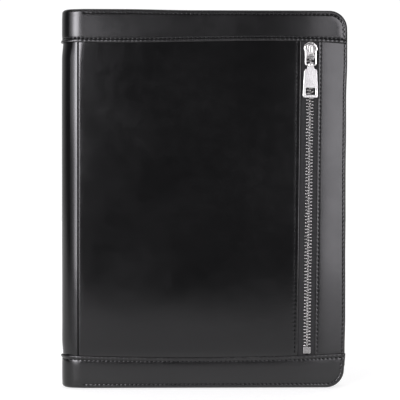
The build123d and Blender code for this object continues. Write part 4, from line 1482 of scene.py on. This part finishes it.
# parts of the CAD that keep their shape
for node, mat in (("front_board", M_BOARD), ("back_board", M_BOARD), ("spine_stiffener", M_BOARD),
                  ("zip_top_stops", M_ZIPMETAL),
                  ("pocket_front_lining", fabric_object("Pocket fabric, front", (0.016, 0.016, 0.017), (0.036, 0.036, 0.038)))):
    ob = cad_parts[node]
    if not ob.material_slots:
        ob.data.materials.append(mat)
    for s in ob.material_slots:
        s.material = mat

# ---- floor, light and camera ------------------------------------------------------------------------
def area(name, loc, target, w, h, power, spread=None):
    d = bpy.data.lights.new(name, "AREA")
    d.shape, d.size, d.size_y, d.energy = "RECTANGLE", w, h, power
    d.color = (1.0, 0.975, 1.03)
    if spread:
        d.spread = math.radians(spread)
    ob = bpy.data.objects.new(name, d)
    bpy.context.scene.collection.objects.link(ob)
    ob.location = loc
    ob.rotation_euler = (Vector(target) - Vector(loc)).to_track_quat("-Z", "Y").to_euler()
    ob.visible_camera = False
    return ob


def softbox(name, seen_from, az0, az1, dist, z0, z1, radiance):
    """Upright area light that spans azimuths az0 to az1 (degrees from -Y towards +X) seen from a point."""
    mid, half = math.radians((az0 + az1) / 2), math.radians(abs(az1 - az0) / 2)
    w, h = 2 * dist * math.tan(half), z1 - z0
    c = (seen_from[0] + dist * math.sin(mid), seen_from[1] - dist * math.cos(mid), (z0 + z1) / 2)
    return area(name, c, (seen_from[0], seen_from[1], c[2]), w, h, 4 * w * h * radiance)


FLOOR = 6.0
fm = bpy.data.meshes.new("floor")
FRONT = -0.8
fm.from_pydata([(-FLOOR, FRONT, 0), (FLOOR, FRONT, 0), (FLOOR, FLOOR, 0), (-FLOOR, FLOOR, 0)], [], [(0, 1, 2, 3)])
floor = bpy.data.objects.new("floor", fm)
bpy.context.scene.collection.objects.link(floor)
floor.location.z = -0.0006
mf = Mat("White floor")
pos = mf.coord()
sep = mf.n("ShaderNodeSeparateXYZ")
mf.t.links.new(pos, sep.inputs[0])
mf.put(mf.b.inputs["Base Color"], mf.mix(mf.ramp(mf.noise(pos, 3.0), 0, 1, 0.3, 0.7), (0.42, 0.42, 0.42, 1), (0.44, 0.44, 0.44, 1)))
mf.b.inputs["Roughness"].default_value = 0.75
mf.b.inputs["Emission Color"].default_value = (1, 1, 1, 1)
# Painted light: the floor glows. Emission is 0.3 in front, rises to 0.7 close to the case and adds up to 0.35 more
# behind it.
behind = mf.ramp(sep.outputs[1], 0.0, 0.35, 0.0, 1.0)
mf.put(mf.b.inputs["Emission Strength"], mf.math("ADD", mf.ramp(sep.outputs[1], 0.30, 0.70, -0.30, -0.08), behind))
fm.materials.append(mf.m)

# world: white to the camera and from behind, dark from the front where the softboxes stand
world = bpy.data.worlds.new("Studio")
bpy.context.scene.world = world
world.use_nodes = True
wt = world.node_tree
wt.nodes.clear()
wo = wt.nodes.new("ShaderNodeOutputWorld")
bg = wt.nodes.new("ShaderNodeBackground")
bgc = wt.nodes.new("ShaderNodeBackground")
bgc.inputs["Color"].default_value = (1, 1, 1, 1)
bgc.inputs["Strength"].default_value = 1.05
lp = wt.nodes.new("ShaderNodeLightPath")
mx = wt.nodes.new("ShaderNodeMixShader")
wc = wt.nodes.new("ShaderNodeTexCoord")
ws = wt.nodes.new("ShaderNodeSeparateXYZ")
wt.links.new(wc.outputs["Generated"], ws.inputs[0])
wr = wt.nodes.new("ShaderNodeMapRange")
wr.interpolation_type = "SMOOTHSTEP"
wt.links.new(ws.outputs[1], wr.inputs["Value"])
for k, v in (("From Min", -0.1), ("From Max", 0.6), ("To Min", 0.10), ("To Max", 0.7)):
    wr.inputs[k].default_value = v
bg.inputs["Color"].default_value = (1, 1, 1, 1)
wt.links.new(wr.outputs[0], bg.inputs["Strength"])
wt.links.new(lp.outputs["Is Camera Ray"], mx.inputs[0])
wt.links.new(bg.outputs[0], mx.inputs[1])
wt.links.new(bgc.outputs[0], mx.inputs[2])
wt.links.new(mx.outputs[0], wo.inputs[0])

# the left light fades away from the camera
for k, (a0, a1, low, high) in enumerate(((-9.5, -18.0, 7.2, 5.4), (-18.0, -27.0, 8.0, 6.0), (-27.0, -36.0, 3.8, 3.3),
                                         (-36.0, -47.0, 0.9, 1.6), (-47.0, -58.0, 0.3, 1.0))):
    softbox("softbox_left_%d" % k, (-0.115, -0.014), a0, a1, 1.25, 0.0, 0.75, low)
    softbox("softbox_left_high_%d" % k, (-0.115, -0.014), a0, a1, 1.22, 0.27, 0.75, high)
softbox("softbox_right", (0.113, -0.013), 11.0, 38.0, 1.25, 0.0, 0.80, 4.7)
area("top", (0.0, -0.1, 1.6), (0, 0, 0.1), 1.4, 1.2, 4 * 1.4 * 1.2 * 1.0)

cam_data = bpy.data.cameras.new("Camera")
cam = bpy.data.objects.new("Camera", cam_data)
bpy.context.scene.collection.objects.link(cam)
yaw, pitch, roll = -0.0218906, -0.00894911, -0.000712493
rz = np.array([[math.cos(yaw), -math.sin(yaw), 0], [math.sin(yaw), math.cos(yaw), 0], [0, 0, 1]])
rx = np.array([[1, 0, 0], [0, math.cos(pitch), -math.sin(pitch)], [0, math.sin(pitch), math.cos(pitch)]])
ry = np.array([[math.cos(roll), 0, math.sin(roll)], [0, 1, 0], [-math.sin(roll), 0, math.cos(roll)]])
R = rz @ rx @ ry
right, fwd, up = R[:, 0], R[:, 1], R[:, 2]
loc = (-0.0294769, -1.2, 0.176663)
cam.matrix_world = Matrix(((right[0], up[0], -fwd[0], loc[0]), (right[1], up[1], -fwd[1], loc[1]),
                           (right[2], up[2], -fwd[2], loc[2]), (0, 0, 0, 1)))
cam_data.sensor_width = 36.0
cam_data.lens = 1346.55 / 400 * 36.0
cam_data.clip_start, cam_data.clip_end = 0.05, 50
scene = bpy.context.scene
scene.camera = cam
scene.view_settings.view_transform = "Standard"
scene.view_settings.look = "None"
scene.view_settings.exposure = 0.0
scene.view_settings.gamma = 1.0
